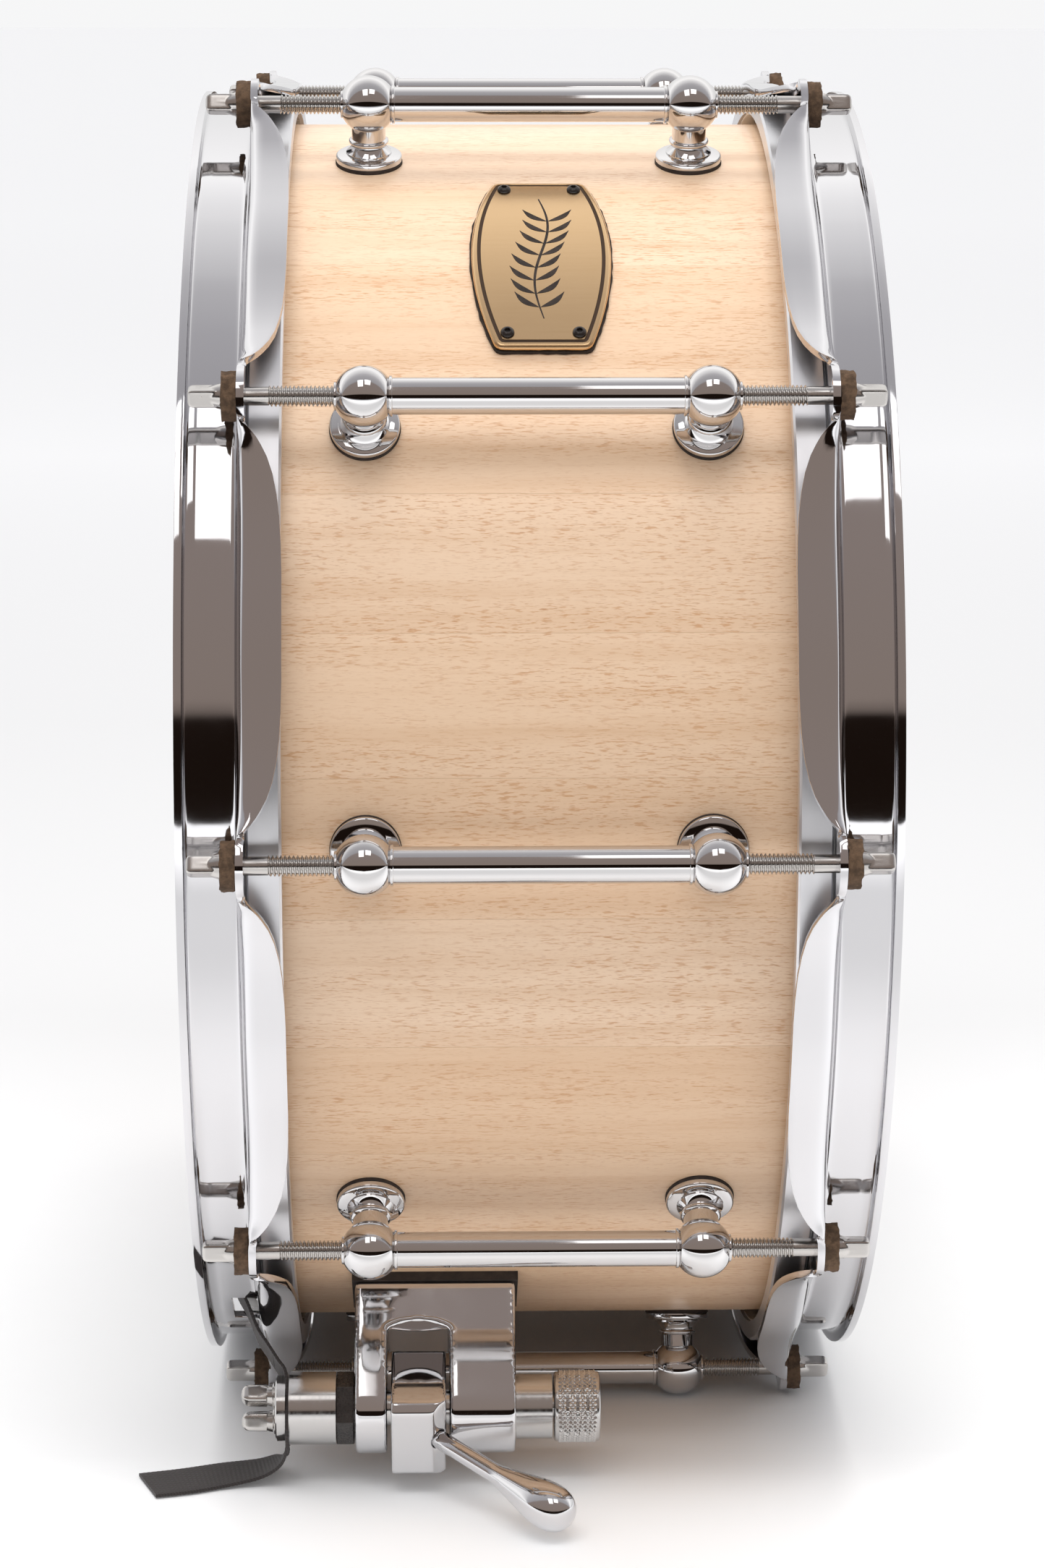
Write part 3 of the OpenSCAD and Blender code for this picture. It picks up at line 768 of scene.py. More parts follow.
def cut_gates(mesh):
    bm = bmesh.new()
    bm.from_mesh(mesh)
    gone = []
    for angle in (STRAINER_ANGLE, BUTT_ANGLE):
        inverse = station(angle).inverted()
        for face in bm.faces:
            p = inverse @ face.calc_center_median()
            if abs(p.y) < GATE_HALF and GATE_FROM < p.x < GATE_TO and 0 < p.z < 188:
                gone.append(face)
    bmesh.ops.delete(bm, geom=gone, context="FACES")
    bm.to_mesh(mesh)
    bm.free()
    return len(gone)


def hoop(name, side, node):
    piece = round_the_drum(name, hoop_tenth(side), LUGS, hoop_chrome, merge=2e-5)
    if side < 0:
        print("gate faces removed:", cut_gates(piece.data))
    solid = piece.modifiers.new("sheet", "SOLIDIFY")
    solid.thickness, solid.offset = HOOP_T * MM, 0.0
    solid.use_even_offset, solid.use_quality_normals = True, True
    edge = piece.modifiers.new("edge", "BEVEL")
    edge.width, edge.segments = 0.55 * MM, 3
    edge.limit_method, edge.angle_limit = "ANGLE", math.radians(50)
    piece.data.shade_smooth()
    bake_modifiers(piece)
    shade(piece.data, 60)
    return done(piece, "drum", "hoop_chrome", node)


hoop("batter_side_hoop", 1, "batter_hoop")
hoop("snare_side_hoop", -1, "snare_hoop")

# %% [markdown]
# ## Screw threads
#
# Tension rods have a fine thread, cut as a helix. A cylinder with many rings is pushed in and
# out by the rule of a thread: the depth at a point depends on its height plus its angle. The
# pitch, the diameter and the depth are inputs.

# %% Thread tree
def thread_tree():
    graph, given = new_tree("Screw thread", [
        ("Length", "Float", 0.03), ("Radius", "Float", 0.0027), ("Pitch", "Float", 0.00106),
        ("Depth", "Float", 0.0004), ("Rings", "Int", 120), ("Sides", "Int", 20),
        ("Finish", "Material", None)])
    rod = graph.add("GeometryNodeMeshCylinder", None, {
        "Vertices": given("Sides"), "Side Segments": given("Rings"),
        "Radius": given("Radius"), "Depth": given("Length")})
    place = graph.add("GeometryNodeInputPosition")
    xyz = graph.add("ShaderNodeSeparateXYZ", None, {0: place})
    angle = xyz.out(1).math("ARCTAN2", xyz.out(0)) * (1 / math.tau)
    phase = (xyz.out(2) / given("Pitch") - angle).frac()
    ridge = 1.0 - (phase * 2.0 - 1.0).abs()
    inward = (given("Depth") / given("Radius")) * (1.0 - ridge.ramp(0.2, 0.85))
    factor = 1.0 - inward
    moved = graph.add("ShaderNodeCombineXYZ", None,
                      {0: xyz.out(0) * factor, 1: xyz.out(1) * factor, 2: xyz.out(2)})
    cut = graph.add("GeometryNodeSetPosition", None, {0: rod, "Position": moved})
    return end_tree(graph, cut, given("Finish"))


THREAD = thread_tree()


def thread_part(length, radius, pitch, depth, sides, rings_a_turn):
    """Points and faces of a threaded rod along z from 0 to length, in millimetres."""
    piece = grow(THREAD, "thread", length=length * MM, radius=radius * MM, pitch=pitch * MM,
                 depth=depth * MM, rings=int(length / pitch * rings_a_turn), sides=sides)
    return parts_of(piece, length / 2)


print("tree", THREAD.name, "has", len(THREAD.nodes), "nodes")

# %% [markdown]
# ## Tension rods
#
# A tension rod is a threaded bar with a small square head for the drum key, on a cone. One rod
# is built about its own axis: threaded where it leaves the lug, smooth under the ear, and the
# cone and head outside the washer. The tree then sets ten of them round each hoop, each turned
# as it was left after tuning.

# %% Key rods
ROD_OUT = 195.0          # the rods stand on a circle of this radius
THREAD_D, SHANK_D = 5.4, 4.8
THREAD_FROM, THREAD_LONG, PITCH, THREAD_DEEP = 37.0, 32.0, 1.06, 0.6
HEAD_AT = 81.0           # the washer's face, from the drum's middle
ANY_TURN = 2.2           # radians between which the rods stand turned


def soft_square(reach):
    """Scales a ring so that its outline is a square with rounded corners."""
    def scale(i, a):
        c, s = abs(math.cos(a)), abs(math.sin(a))
        return 1.0 / (c ** reach + s ** reach) ** (1.0 / reach)
    return scale


def square_from(first, reach=7):
    """Round below ring number first, square from there on."""
    square = soft_square(reach)
    return lambda i, a: square(i, a) if i >= first else 1.0


def key_head():
    """Square head along z from the washer's face at 0, with a cone that runs into its base."""
    flat, square = 2.45, soft_square(8)
    rings = [(0.0, 3.35), (0.12, 3.4), (0.5, 3.3), (0.9, 3.2), (1.3, 3.08), (1.7, 2.95),
             (2.1, 2.8), (2.5, 2.65), (2.9, 2.5)]
    tip = [(3.3, 2.45), (6.2, 2.45), (7.5, 2.4), (8.1, 2.2), (8.45, 1.85), (8.65, 1.2),
           (8.7, 0.5)]

    def reach(i, a):
        if i < len(rings):
            return max(1.0, square(i, a) * flat / rings[i][1])
        return square(i, a)
    return turned(rings + tip, 64, reach)


def rod_mesh(side):
    """One rod about its own axis, pointing outwards from the drum's middle."""
    base = FRONT @ Matrix.Rotation(math.radians(90 * side), 4, "Y")
    thread = thread_part(THREAD_LONG, THREAD_D / 2, PITCH, THREAD_DEEP, 24, 7)
    shank = turned(rounded([(68.6, 0.6), (68.8, SHANK_D / 2), (81.05, SHANK_D / 2),
                            (81.1, 0.6)], 0.3), 24)
    return merge("rod", [(*thread, base @ Matrix.Translation((0, 0, THREAD_FROM))),
                         (*shank, base),
                         (*key_head(), base @ Matrix.Translation((0, 0, HEAD_AT)))])


for side, name, node in ((1, "batter_key_rods", "batter_rods"),
                         (-1, "snare_key_rods", "snare_rods")):
    rods = round_the_drum(name, rod_mesh(side), LUGS, rod_chrome, 1e-7, ROD_OUT * MM,
                          ANY_TURN)
    shade(rods.data, 32)
    done(rods, "drum", "rod_chrome", node)

# %% [markdown]
# ## Leather washers
#
# The washers are punched from thick leather and squeezed under the rod heads, so no two are the
# same. A tree makes a washer from a short cylinder, sets it at the stations, and pushes
# every point by noise read at its place in space, which differs from washer to washer.

# %% Washer tree
def washer_tree():
    graph, given = new_tree("Rough washers", [
        ("Copies", "Int", 10), ("Radius", "Float", 0.0065), ("Thickness", "Float", 0.004),
        ("Along", "Float", 0.079), ("Out", "Float", 0.195), ("Roughness", "Float", 0.0009),
        ("Finish", "Material", None)])
    blank = graph.add("GeometryNodeMeshCylinder", None, {
        "Vertices": 40, "Side Segments": 5, "Fill Segments": 4,
        "Radius": given("Radius"), "Depth": given("Thickness")})
    laid = graph.add("GeometryNodeTransform", None,
                     {0: blank, "Rotation": (0.0, math.pi / 2, 0.0)})
    away = graph.add("ShaderNodeCombineXYZ", None,
                     {0: given("Along"), 1: given("Out") * -1.0, 2: 0.0})
    placed = graph.add("GeometryNodeTransform", None, {0: laid, "Translation": away})
    spots = graph.add("GeometryNodeMeshLine", None, {"Count": given("Copies"),
                                                     "Offset": (0.0, 0.0, 0.0)})
    step = graph.add("GeometryNodeInputIndex") * (-math.tau / LUGS)
    spin = graph.add("ShaderNodeCombineXYZ", None, {0: step})
    copies = graph.add("GeometryNodeInstanceOnPoints", None,
                       {"Points": spots, "Instance": placed, "Rotation": spin})
    real = graph.add("GeometryNodeRealizeInstances", None, {0: copies})
    moved = graph.add("GeometryNodeTransform", None, {0: real, "Translation": tuple(CENTRE)})
    place = graph.add("GeometryNodeInputPosition")
    blur = {"noise_dimensions": "3D"}
    coarse = graph.add("ShaderNodeTexNoise", blur, {"Vector": place, "Scale": 260.0,
                                                    "Detail": 1.0}, out="Color")
    fine = graph.add("ShaderNodeTexNoise", blur, {"Vector": place, "Scale": 1300.0,
                                                  "Detail": 2.0}, out="Color")
    both = graph.add("ShaderNodeVectorMath", {"operation": "ADD"}, {0: coarse, 1: fine})
    centred = graph.add("ShaderNodeVectorMath", {"operation": "SUBTRACT"},
                        {0: both, 1: (1.0, 1.0, 1.0)})
    push = graph.add("ShaderNodeVectorMath", {"operation": "SCALE"},
                     {0: centred, "Scale": given("Roughness")})
    rough = graph.add("GeometryNodeSetPosition", None, {0: moved, "Offset": push})
    return end_tree(graph, rough, given("Finish"))


WASHERS = washer_tree()
for side, name, node in ((1, "batter_leathers", "batter_washers"),
                         (-1, "snare_leathers", "snare_washers")):
    leather = grow(WASHERS, name, radius=0.0064, thickness=0.0039, along=side * 0.079, out=0.195,
                   roughness=0.0011, finish=washer_leather)
    shade(leather.data, 50)
    done(leather, "drum", "washer_leather", node)

# %% [markdown]
# ## Tube lugs
#
# A lug is a tube between two turned balls, each on a ringed neck and a round foot. The ball and
# neck are one lathe profile, so its small coves and rings catch the light the way turned brass
# does under chrome. Ten lugs come from the same tree as the rods.

# %% Lug posts and tubes
LUG_X, BALL_R, TUBE_R, NECK_R = 44.67, 8.0, 4.8, 4.72
TUBE_END = LUG_X - 5.2
FOOT_TOP = ROD_OUT - 14.3


def post_profile():
    """[height from the drum's axis, radius], from the foot to the top of the ball."""
    low = FOOT_TOP
    foot = [(low - 2.0, 0.01), (low - 2.0, 8.9), (low - 1.8, 9.15), (low - 0.55, 9.2),
            (low - 0.25, 9.05), (low - 0.05, 8.7), (low + 0.1, 6.9)]
    neck = [(low + 0.25, 6.35), (low + 0.75, 6.3), (low + 1.1, 5.9), (low + 1.7, 5.35),
            (low + 2.3, 4.95), (low + 2.75, 4.75), (low + 3.1, 4.75), (low + 3.25, 5.1),
            (low + 3.45, 5.45), (low + 3.8, 5.55), (low + 4.15, 5.45), (low + 4.4, 5.1),
            (low + 4.6, 4.75)]
    join = math.asin(NECK_R / BALL_R)
    ball = [(ROD_OUT - BALL_R * math.cos(a), BALL_R * math.sin(a))
            for a in np.linspace(join, math.pi - 0.02, 30)]
    neck.append((ball[0][0] - 0.15, NECK_R))
    return foot + neck + ball


def lug_mesh():
    parts = [(*turned(post_profile(), 64), FRONT @ Matrix.Translation((s * LUG_X, 0, 0)))
             for s in (-1, 1)]
    tube = [(-TUBE_END, 2.0), (-TUBE_END, TUBE_R), (TUBE_END, TUBE_R), (TUBE_END, 2.0)]
    parts.append((*turned(tube, 56), FRONT @ Matrix.Translation((0, 0, ROD_OUT)) @ ALONG))
    ring = rounded([(0.0, TUBE_R - 0.3), (0.0, TUBE_R + 0.5), (0.9, TUBE_R + 0.5),
                    (0.9, TUBE_R - 0.3)], 0.3)
    sleeve = rounded([(0.0, 2.4), (0.0, 3.7), (0.8, 3.7), (0.8, 2.4)], 0.25)
    for s in (-1, 1):
        at = Matrix.Translation((s * (LUG_X - 6.9) - 0.45, 0, ROD_OUT))
        parts.append((*turned(ring, 56), FRONT @ at @ ALONG))
        out = Matrix.Translation((s * (LUG_X + 7.25) - 0.4, 0, ROD_OUT))
        parts.append((*turned(sleeve, 40), FRONT @ out @ ALONG))
    return merge("lug", parts)


lugs = round_the_drum("tube_lugs", lug_mesh(), LUGS, lug_chrome, merge=1e-7)
shade(lugs.data, 40)
done(lugs, "drum", "lug_chrome", "lug_tubes", "lug_posts")

# %% [markdown]
# A thin dark seat lies under each foot, so that the metal doesn't mark the lacquer.

# %% Lug seats
seat = turned([(SHELL_R - 0.6, 8.9), (SHELL_R - 0.6, 9.35), (FOOT_TOP - 2.1, 9.35),
               (FOOT_TOP - 1.95, 9.2), (FOOT_TOP - 1.95, 8.9)], 56)
seat_pair = merge("lug_seat", [(*seat, FRONT @ Matrix.Translation((s * LUG_X, 0, 0)))
                               for s in (-1, 1)])
seats = round_the_drum("lug_seats", seat_pair, LUGS, gasket_rubber, merge=1e-7)
shade(seats.data, 40)
done(seats, "drum", "gasket_rubber", "lug_gaskets")

# %% [markdown]
# ## Strainer casting, lever block and butt plate
#
# The three blocks are polished castings, whose edges flow. Around them are small machined parts,
# for which the bevelled copy is the right tool. All keep the CAD's bores and slots.

# %% Castings and machined parts
cast("strainer_body", "strainer_casting", 0.42, 40, strainer_chrome, "drum", "strainer_chrome")
cast("lever_block", "lever_cradle", 0.36, 30, strainer_chrome, "lever", "strainer_chrome")
cast("butt_body", "butt_block", 0.42, 40, strainer_chrome, "drum", "strainer_chrome")
softened("butt_clamp", "butt_top_plate", 0.6, strainer_chrome, "drum", "strainer_chrome")
softened("clamp_cylinder", "clamp_barrel", 0.5, turned_steel, "clamp", "piston_steel")
softened("clamp_plate", "clamp_disc", 0.35, turned_steel, "clamp", "piston_steel")
softened("hex_bush", "hex_collar", 0.45, dark_bush, "piston", "dark_bush")
softened("snare_plate", "snare_end_plate", 0.35, plate_brass, "drum", "plate_brass")
softened("butt_snare_plate", "butt_end_plate", 0.35, plate_brass, "drum", "plate_brass")

# %% [markdown]
# ## Lever handle
#
# The handle is a thin rod with a teardrop grip, all one turned piece. Its profile runs from
# inside the cradle to the rounded tip.

# %% Lever handle
handle_frame = (lever_frame() @ Matrix.Translation((-26, 0, 14.8))
                @ Matrix.Rotation(math.radians(45), 4, "Y"))
handle_profile = [(-7.0, 0.01), (-7.0, 2.45), (-6.8, 2.6), (8.0, 2.6), (20.0, 2.62), (21.6, 2.75),
                  (23.0, 3.0), (25.0, 3.45), (27.5, 4.0), (30.0, 4.55), (32.5, 5.1),
                  (35.0, 5.68), (37.5, 6.18), (39.5, 6.42), (41.2, 6.5), (43.0, 6.38),
                  (44.7, 6.0), (46.2, 5.35), (47.4, 4.45), (48.3, 3.3), (48.8, 2.0), (49.0, 0.7)]
handle = new_object("lever_handle", merge("lever_handle", [
    (*turned(handle_profile, 64), handle_frame)]), strainer_chrome)
shade(handle.data, 40)
done(handle, "lever", "strainer_chrome", "lever_rod", "lever_knob")

# %% [markdown]
# ## Knurled knob
#
# A knurl is two sets of crossing ridges rolled into a cylinder, which leave small pyramids. At
# any point the height is the lower of two triangle waves, one winding each way, and it fades to
# nothing at both ends. The tree has the number of ridges and their depth as inputs.

# %% Knurl tree
def knurl_tree():
    graph, given = new_tree("Diamond knurl", [
        ("Length", "Float", 0.0115), ("Radius", "Float", 0.01), ("Starts", "Int", 46),
        ("Slant", "Float", 720.0), ("Depth", "Float", 0.0005), ("Sides", "Int", 230),
        ("Rings", "Int", 44), ("Finish", "Material", None)])
    drum = graph.add("GeometryNodeMeshCylinder", None, {
        "Vertices": given("Sides"), "Side Segments": given("Rings"),
        "Radius": given("Radius"), "Depth": given("Length")})
    place = graph.add("GeometryNodeInputPosition")
    xyz = graph.add("ShaderNodeSeparateXYZ", None, {0: place})
    turn = xyz.out(1).math("ARCTAN2", xyz.out(0)) * (1 / math.tau) * given("Starts")
    climb = xyz.out(2) * given("Slant")
    waves = [1.0 - ((turn + climb * way).frac() * 2.0 - 1.0).abs() for way in (1.0, -1.0)]
    height = waves[0].math("MINIMUM", waves[1])
    ends = (xyz.out(2) / given("Length")).abs().ramp(0.455, 0.485, 1.0, 0.0)
    inward = given("Depth") / given("Radius") * (1.0 - height * ends)
    factor = 1.0 - inward
    moved = graph.add("ShaderNodeCombineXYZ", None,
                      {0: xyz.out(0) * factor, 1: xyz.out(1) * factor, 2: xyz.out(2)})
    rolled = graph.add("GeometryNodeSetPosition", None, {0: drum, "Position": moved})
    return end_tree(graph, rolled, given("Finish"))


KNURL = knurl_tree()
knurl_part = parts_of(grow(KNURL, "knurl", length=0.0112, radius=0.01015, depth=0.00055))
knob_place = station(STRAINER_ANGLE) @ Matrix.Translation((0, 0, PISTON_OUT)) @ ALONG
collar_near = rounded([(5.7, 3.0), (5.7, 9.1), (6.2, 9.65), (6.75, 9.65), (6.75, 3.0)], 0.25)
collar_far = rounded([(17.7, 3.0), (17.7, 9.65), (18.15, 9.65), (18.6, 9.1), (18.6, 6.6),
                      (17.4, 6.3), (17.35, 3.0)], 0.25)
knob = new_object("tension_knurl", merge("tension_knurl", [
    (*knurl_part, knob_place @ Matrix.Translation((0, 0, 12.2))),
    (*turned(collar_near, 72), knob_place), (*turned(collar_far, 72), knob_place)]), turned_steel)
shade(knob.data, 30)
done(knob, "tension", "piston_steel", "tension_knob")

# %% [markdown]
# ## Badge
#
# The badge is a barrel-shaped brass plate, curved to the shell, with a bright rounded edge, a
# dark engraved line inside it and a lightly brushed face. It is built as loops: the outline, drawn
# smaller and smaller towards the middle, each loop with its own height. A "paint" attribute,
# which is 1 in the engraved line, tells the dark paint from the brass. The face carries a plain
# engraved sprig of leaves, which stands for no maker.

# %% Badge plate
BADGE_X, BADGE_R, BADGE_HALF, BADGE_END = 2.2, 178.9, 18.8, 34.8
SIDE_R = 100.0
LOOP = 168               # points in each loop
SAMPLES = 1200           # points in the outline while its corners are rounded


def badge_outline(inset):
    """Barrel outline [x, t], inset from the plate's edge, with a small corner radius."""
    half, end = BADGE_HALF - inset, BADGE_END - inset
    radius = SIDE_R - inset
    corner = max(2.2 - inset * 0.7, 0.4)
    t = np.linspace(-end, end, 400)
    side = np.sqrt(radius ** 2 - t ** 2) - (radius - half)
    loop = [(x, y) for x, y in zip(side, t)]
    top = side[-1]
    loop += [(x, end) for x in np.linspace(top, -top, 160)[1:-1]]
    loop += [(-x, y) for x, y in zip(side[::-1], t[::-1])]
    loop += [(x, -end) for x in np.linspace(-top, top, 160)[1:-1]]
    loop = np.array(loop)
    steps = np.linalg.norm(np.diff(loop, axis=0, append=loop[:1]), axis=1)
    cum = np.concatenate([[0], np.cumsum(steps)])
    places = np.linspace(0, cum[-1], SAMPLES, endpoint=False)
    closed = np.vstack([loop, loop[:1]])
    even = np.column_stack([np.interp(places, cum, closed[:, k]) for k in (0, 1)])
    reach = max(int(corner / cum[-1] * SAMPLES), 1)
    kernel = np.ones(2 * reach + 1) / (2 * reach + 1)
    padded = np.vstack([even[-2 * reach:], even, even[:2 * reach]])
    soft = np.column_stack([np.convolve(padded[:, k], kernel, "same") for k in (0, 1)])
    soft = soft[2 * reach:-2 * reach]
    keep = (np.arange(LOOP) * len(soft) / LOOP).astype(int)
    return soft[keep]


def wrap(x, t, lift):
    """A flat badge point laid on the round shell, in station millimetres."""
    a = t / BADGE_R
    r = BADGE_R + lift
    return (BADGE_X + x, r * math.sin(a), r * math.cos(a))


LINE_IN, LINE_WIDE, LINE_DEEP, PLATE_T = 1.6, 0.9, 0.2, 1.6
rings = [(0.0, 0.0, 0), (0.0, 0.7, 0), (0.06, 0.95, 0), (0.2, 1.2, 0), (0.42, 1.4, 0),
         (0.7, 1.53, 0), (1.0, PLATE_T, 0), (LINE_IN - 0.04, PLATE_T, 0),
         (LINE_IN + 0.03, PLATE_T - LINE_DEEP, 1),
         (LINE_IN + LINE_WIDE, PLATE_T - LINE_DEEP, 1), (LINE_IN + LINE_WIDE + 0.06, PLATE_T, 0)]
points, paint = [], []
for inset, lift, dark in rings:
    for x, t in badge_outline(inset):
        points.append(wrap(x, t, lift))
        paint.append(dark)
last = badge_outline(rings[-1][0])
for share in (0.86, 0.7, 0.54, 0.38, 0.22, 0.08):
    for x, t in last:
        points.append(wrap(x * share, t * share, PLATE_T))
        paint.append(0)
hub = len(points)
faces = loop_faces(hub // LOOP, LOOP)
points += [wrap(0, 0, PLATE_T), wrap(0, 0, 0)]
paint += [0, 0]
for k in range(LOOP):
    n = (k + 1) % LOOP
    faces.append((hub - LOOP + k, hub - LOOP + n, hub))
    faces.append((n, k, hub + 1))
badge_mesh = mesh_of("badge_face", points, faces, station(BADGE_ANGLE))
badge_mesh.attributes.new("paint", "FLOAT", "POINT").data.foreach_set("value", paint)


def badge_metal():
    f = Finish("badge_brass")
    dark = f.add("ShaderNodeAttribute", {"attribute_name": "paint"}, out="Fac").ramp(0.3, 0.7)
    brushed = f.noise(f.stretch(f.place(), (4.0, 90.0, 90.0)), 12.0, 4.0, 0.65)
    cloud = f.noise(f.place(), 55.0, 3.0)
    base = f.mix(brushed * 0.6 + cloud * 0.4, (0.68, 0.455, 0.24), (0.75, 0.52, 0.295))
    base = f.mix(dark, base, (0.045, 0.022, 0.009))
    return f.feed(Base_Color=base, Metallic=1.0 - dark, Roughness=brushed * 0.06 + 0.2 + dark * 0.5,
                  Normal=f.bump(brushed, 0.000003, 0.2))


badge = new_object("badge_face", badge_mesh, badge_metal())
shade(badge.data, 22)
done(badge, "drum", "badge_brass", "badge_plate")

# %% [markdown]
# Under the plate lies a sheet of dark felt, cut by hand a little larger than the plate, so a
# ragged edge of it shows all round.

# %% Felt under the badge
FELT_OUT, FELT_T, FELT_RAGGED = 0.5, 0.88, 0.4
ragged = np.random.default_rng(7).normal(0, FELT_RAGGED, LOOP)
ragged = np.convolve(np.tile(ragged, 3), [0.25, 0.5, 0.25], "same")[LOOP:2 * LOOP]
lifts = (0.02 - BADGE_R + SHELL_R, FELT_T - BADGE_R + SHELL_R)
points, faces = [], []
for lift in lifts:
    for (x, t), (wide_x, wide_t), push in zip(badge_outline(0), badge_outline(-FELT_OUT), ragged):
        points.append(wrap(wide_x + (wide_x - x) * push, wide_t + (wide_t - t) * push, lift))
points += [wrap(0, 0, lift) for lift in lifts]
for k in range(LOOP):
    n = (k + 1) % LOOP
    faces += [(k, n, LOOP + n, LOOP + k), (n, k, 2 * LOOP), (LOOP + k, LOOP + n, 2 * LOOP + 1)]
felt = new_object("badge_felt", mesh_of("badge_felt", points, faces, station(BADGE_ANGLE)),
                  gasket_rubber)
done(felt, "drum", "gasket_rubber", "badge_gasket")

# %% [markdown]
# The sprig is a gently waved stem with paired leaves. It is cut from strips that lie a hair above
# the plate, dull and nearly black, so it reads as filled engraving.

# %% Badge ornament
def leaf_strip(x0, t0, x1, t1, wide, bend, steps=10):
    """A pointed leaf from one place to another, as pairs of edge points."""
    axis = np.array([x1 - x0, t1 - t0], float)
    side = np.array([-axis[1], axis[0]]) / np.linalg.norm(axis)
    left, right = [], []
    for s in np.linspace(0, 1, steps):
        mid = np.array([x0, t0]) + axis * s + side * bend * math.sin(math.pi * s)
        half = wide * max(math.sin(math.pi * min(s * 1.05, 1.0)) ** 0.8, 0.06)
        left.append(mid + side * half)
        right.append(mid - side * half)
    return left, right


strips = []
stem = np.linspace(-25, 25, 60)
wave = [2.0 * math.sin(t * 0.13) for t in stem]
for i in range(len(stem) - 1):
    half = 0.26 * (1 - (abs(stem[i]) / 27) ** 2) + 0.12
    strips.append(([(wave[i] - half, stem[i]), (wave[i + 1] - half, stem[i + 1])],
                   [(wave[i] + half, stem[i]), (wave[i + 1] + half, stem[i + 1])]))
for t in np.arange(-21.0, 19.0, 5.0):
    x = 2.0 * math.sin(t * 0.13)
    for s in (-1, 1):
        strips.append(leaf_strip(x + s * 0.3, t, x + s * 6.6, t + 5.6, 0.85, s * -0.9))
points, faces = [], []
for left, right in strips:
    base = len(points)
    for (lx, lt), (rx, rt) in zip(left, right):
        points += [wrap(lx, lt, PLATE_T + 0.05), wrap(rx, rt, PLATE_T + 0.05),
                   wrap(lx, lt, PLATE_T - 0.05), wrap(rx, rt, PLATE_T - 0.05)]
    m = len(left)
    for i in range(m - 1):
        a, b = base + 4 * i, base + 4 * (i + 1)
        faces += [(a, a + 1, b + 1, b), (a + 2, b + 2, b + 3, a + 3),
                  (a, b, b + 2, a + 2), (a + 1, a + 3, b + 3, b + 1)]
    e = base + 4 * (m - 1)
    faces += [(base, base + 2, base + 3, base + 1), (e, e + 1, e + 3, e + 2)]
sprig_mesh = mesh_of("badge_sprig", points, faces, station(BADGE_ANGLE))
face_outwards(sprig_mesh)
sprig = new_object("badge_sprig", sprig_mesh, gasket_rubber)
done(sprig, "drum", "gasket_rubber")

# %% [markdown]
# ## Button screws
#
# Four black button-head screws with a hex socket hold the badge. The head is a lathe profile
# whose inner rings are drawn as a hexagon.

# %% Badge screws
def hexagon(first):
    """Round below ring number first, a hexagon from there on."""
    def scale(i, a):
        if i < first:
            return 1.0
        return 1.0 / math.cos((a % (math.pi / 3)) - math.pi / 6)
    return scale


button = [(0.0, 0.9), (0.0, 1.75), (0.2, 1.86), (0.5, 1.8), (0.8, 1.6), (1.05, 1.3),
          (1.18, 1.0), (1.2, 0.9)]
socket = [(1.18, 0.74), (1.1, 0.7), (0.5, 0.7), (0.45, 0.3)]
head = turned(button + socket, 48, hexagon(len(button)))
SCREW_TURN, SCREW_X = 9.6, 9.5       # degrees and millimetres from the badge's middle
spots = [station(BADGE_ANGLE + a) @ Matrix.Translation((BADGE_X + x, 0, BADGE_R + PLATE_T - 0.05))
         for a in (-SCREW_TURN, SCREW_TURN) for x in (-SCREW_X, SCREW_X)]
buttons = new_object("badge_buttons", merge("badge_buttons", [(*head, m) for m in spots]),
                     dark_screw)
shade(buttons.data, 30)
done(buttons, "drum", "dark_screw", "badge_screws")

# %% [markdown]
# ## Key screws of the clamps
#
# The clamps are held by small screws with the same square drum-key head as the rods, with a
# rounded tip.

# %% Clamp screws
def key_screw(length):
    head = [(0.0, 3.5), (0.2, 3.65), (0.5, 3.65), (0.65, 3.4), (0.9, 3.1), (1.6, 2.95),
            (2.3, 2.75)]
    square = [(2.6, 2.6), (5.0, 2.58), (7.4, 2.5), (8.4, 2.3), (9.1, 1.8), (9.5, 1.1),
              (9.6, 0.4)]
    shank = rounded([(-length, 0.3), (-length, 1.7), (0.0, 1.7), (0.0, 0.3)], 0.3)
    return [turned(head + square, 48, square_from(len(head), 6)), turned(shank, 24)]


def key_screws(name, places, length, body, node):
    parts = [(*part, m) for m in places for part in key_screw(length)]
    piece = new_object(name, merge(name, parts), rod_chrome)
    shade(piece.data, 32)
    return done(piece, body, "rod_chrome", node)


back = Matrix.Rotation(math.radians(-90), 4, "Y")
key_screws("clamp_key_screws",
           [station(STRAINER_ANGLE) @ Matrix.Translation((-72.0, t, PISTON_OUT + r)) @ back
            @ Matrix.Rotation(math.radians(spin), 4, "Z")
            for t, r, spin in ((2.5, -3, 12), (-2.5, 3, -24))], 6.6, "clamp", "clamp_screws")
key_screws("butt_key_screws",
           [station(BUTT_ANGLE) @ Matrix.Translation((-49, s * 11.2, 200.2))
            @ Matrix.Rotation(math.radians(30 * s), 4, "Z") for s in (-1, 1)],
           13, "drum", "butt_clamp_screws")

# %% [markdown]
# ## Ribbon strap
#
# The strap is one black ribbed ribbon, 17 mm wide and 1 mm thick. It leaves the snare's end
# plate, passes the gate in the hoop, is squeezed between the clamp's barrel and disc, and its
# loose end lies on the floor. A helper sweeps a ribbon along a middle line with a half-width
# vector at every point, and raises a small rib every millimetre or so.

# %% Ribbon tools
RIB, RIB_HIGH = 1.25, 0.16
STRAP_HALF, STRAP_T = 8.5, 1.0


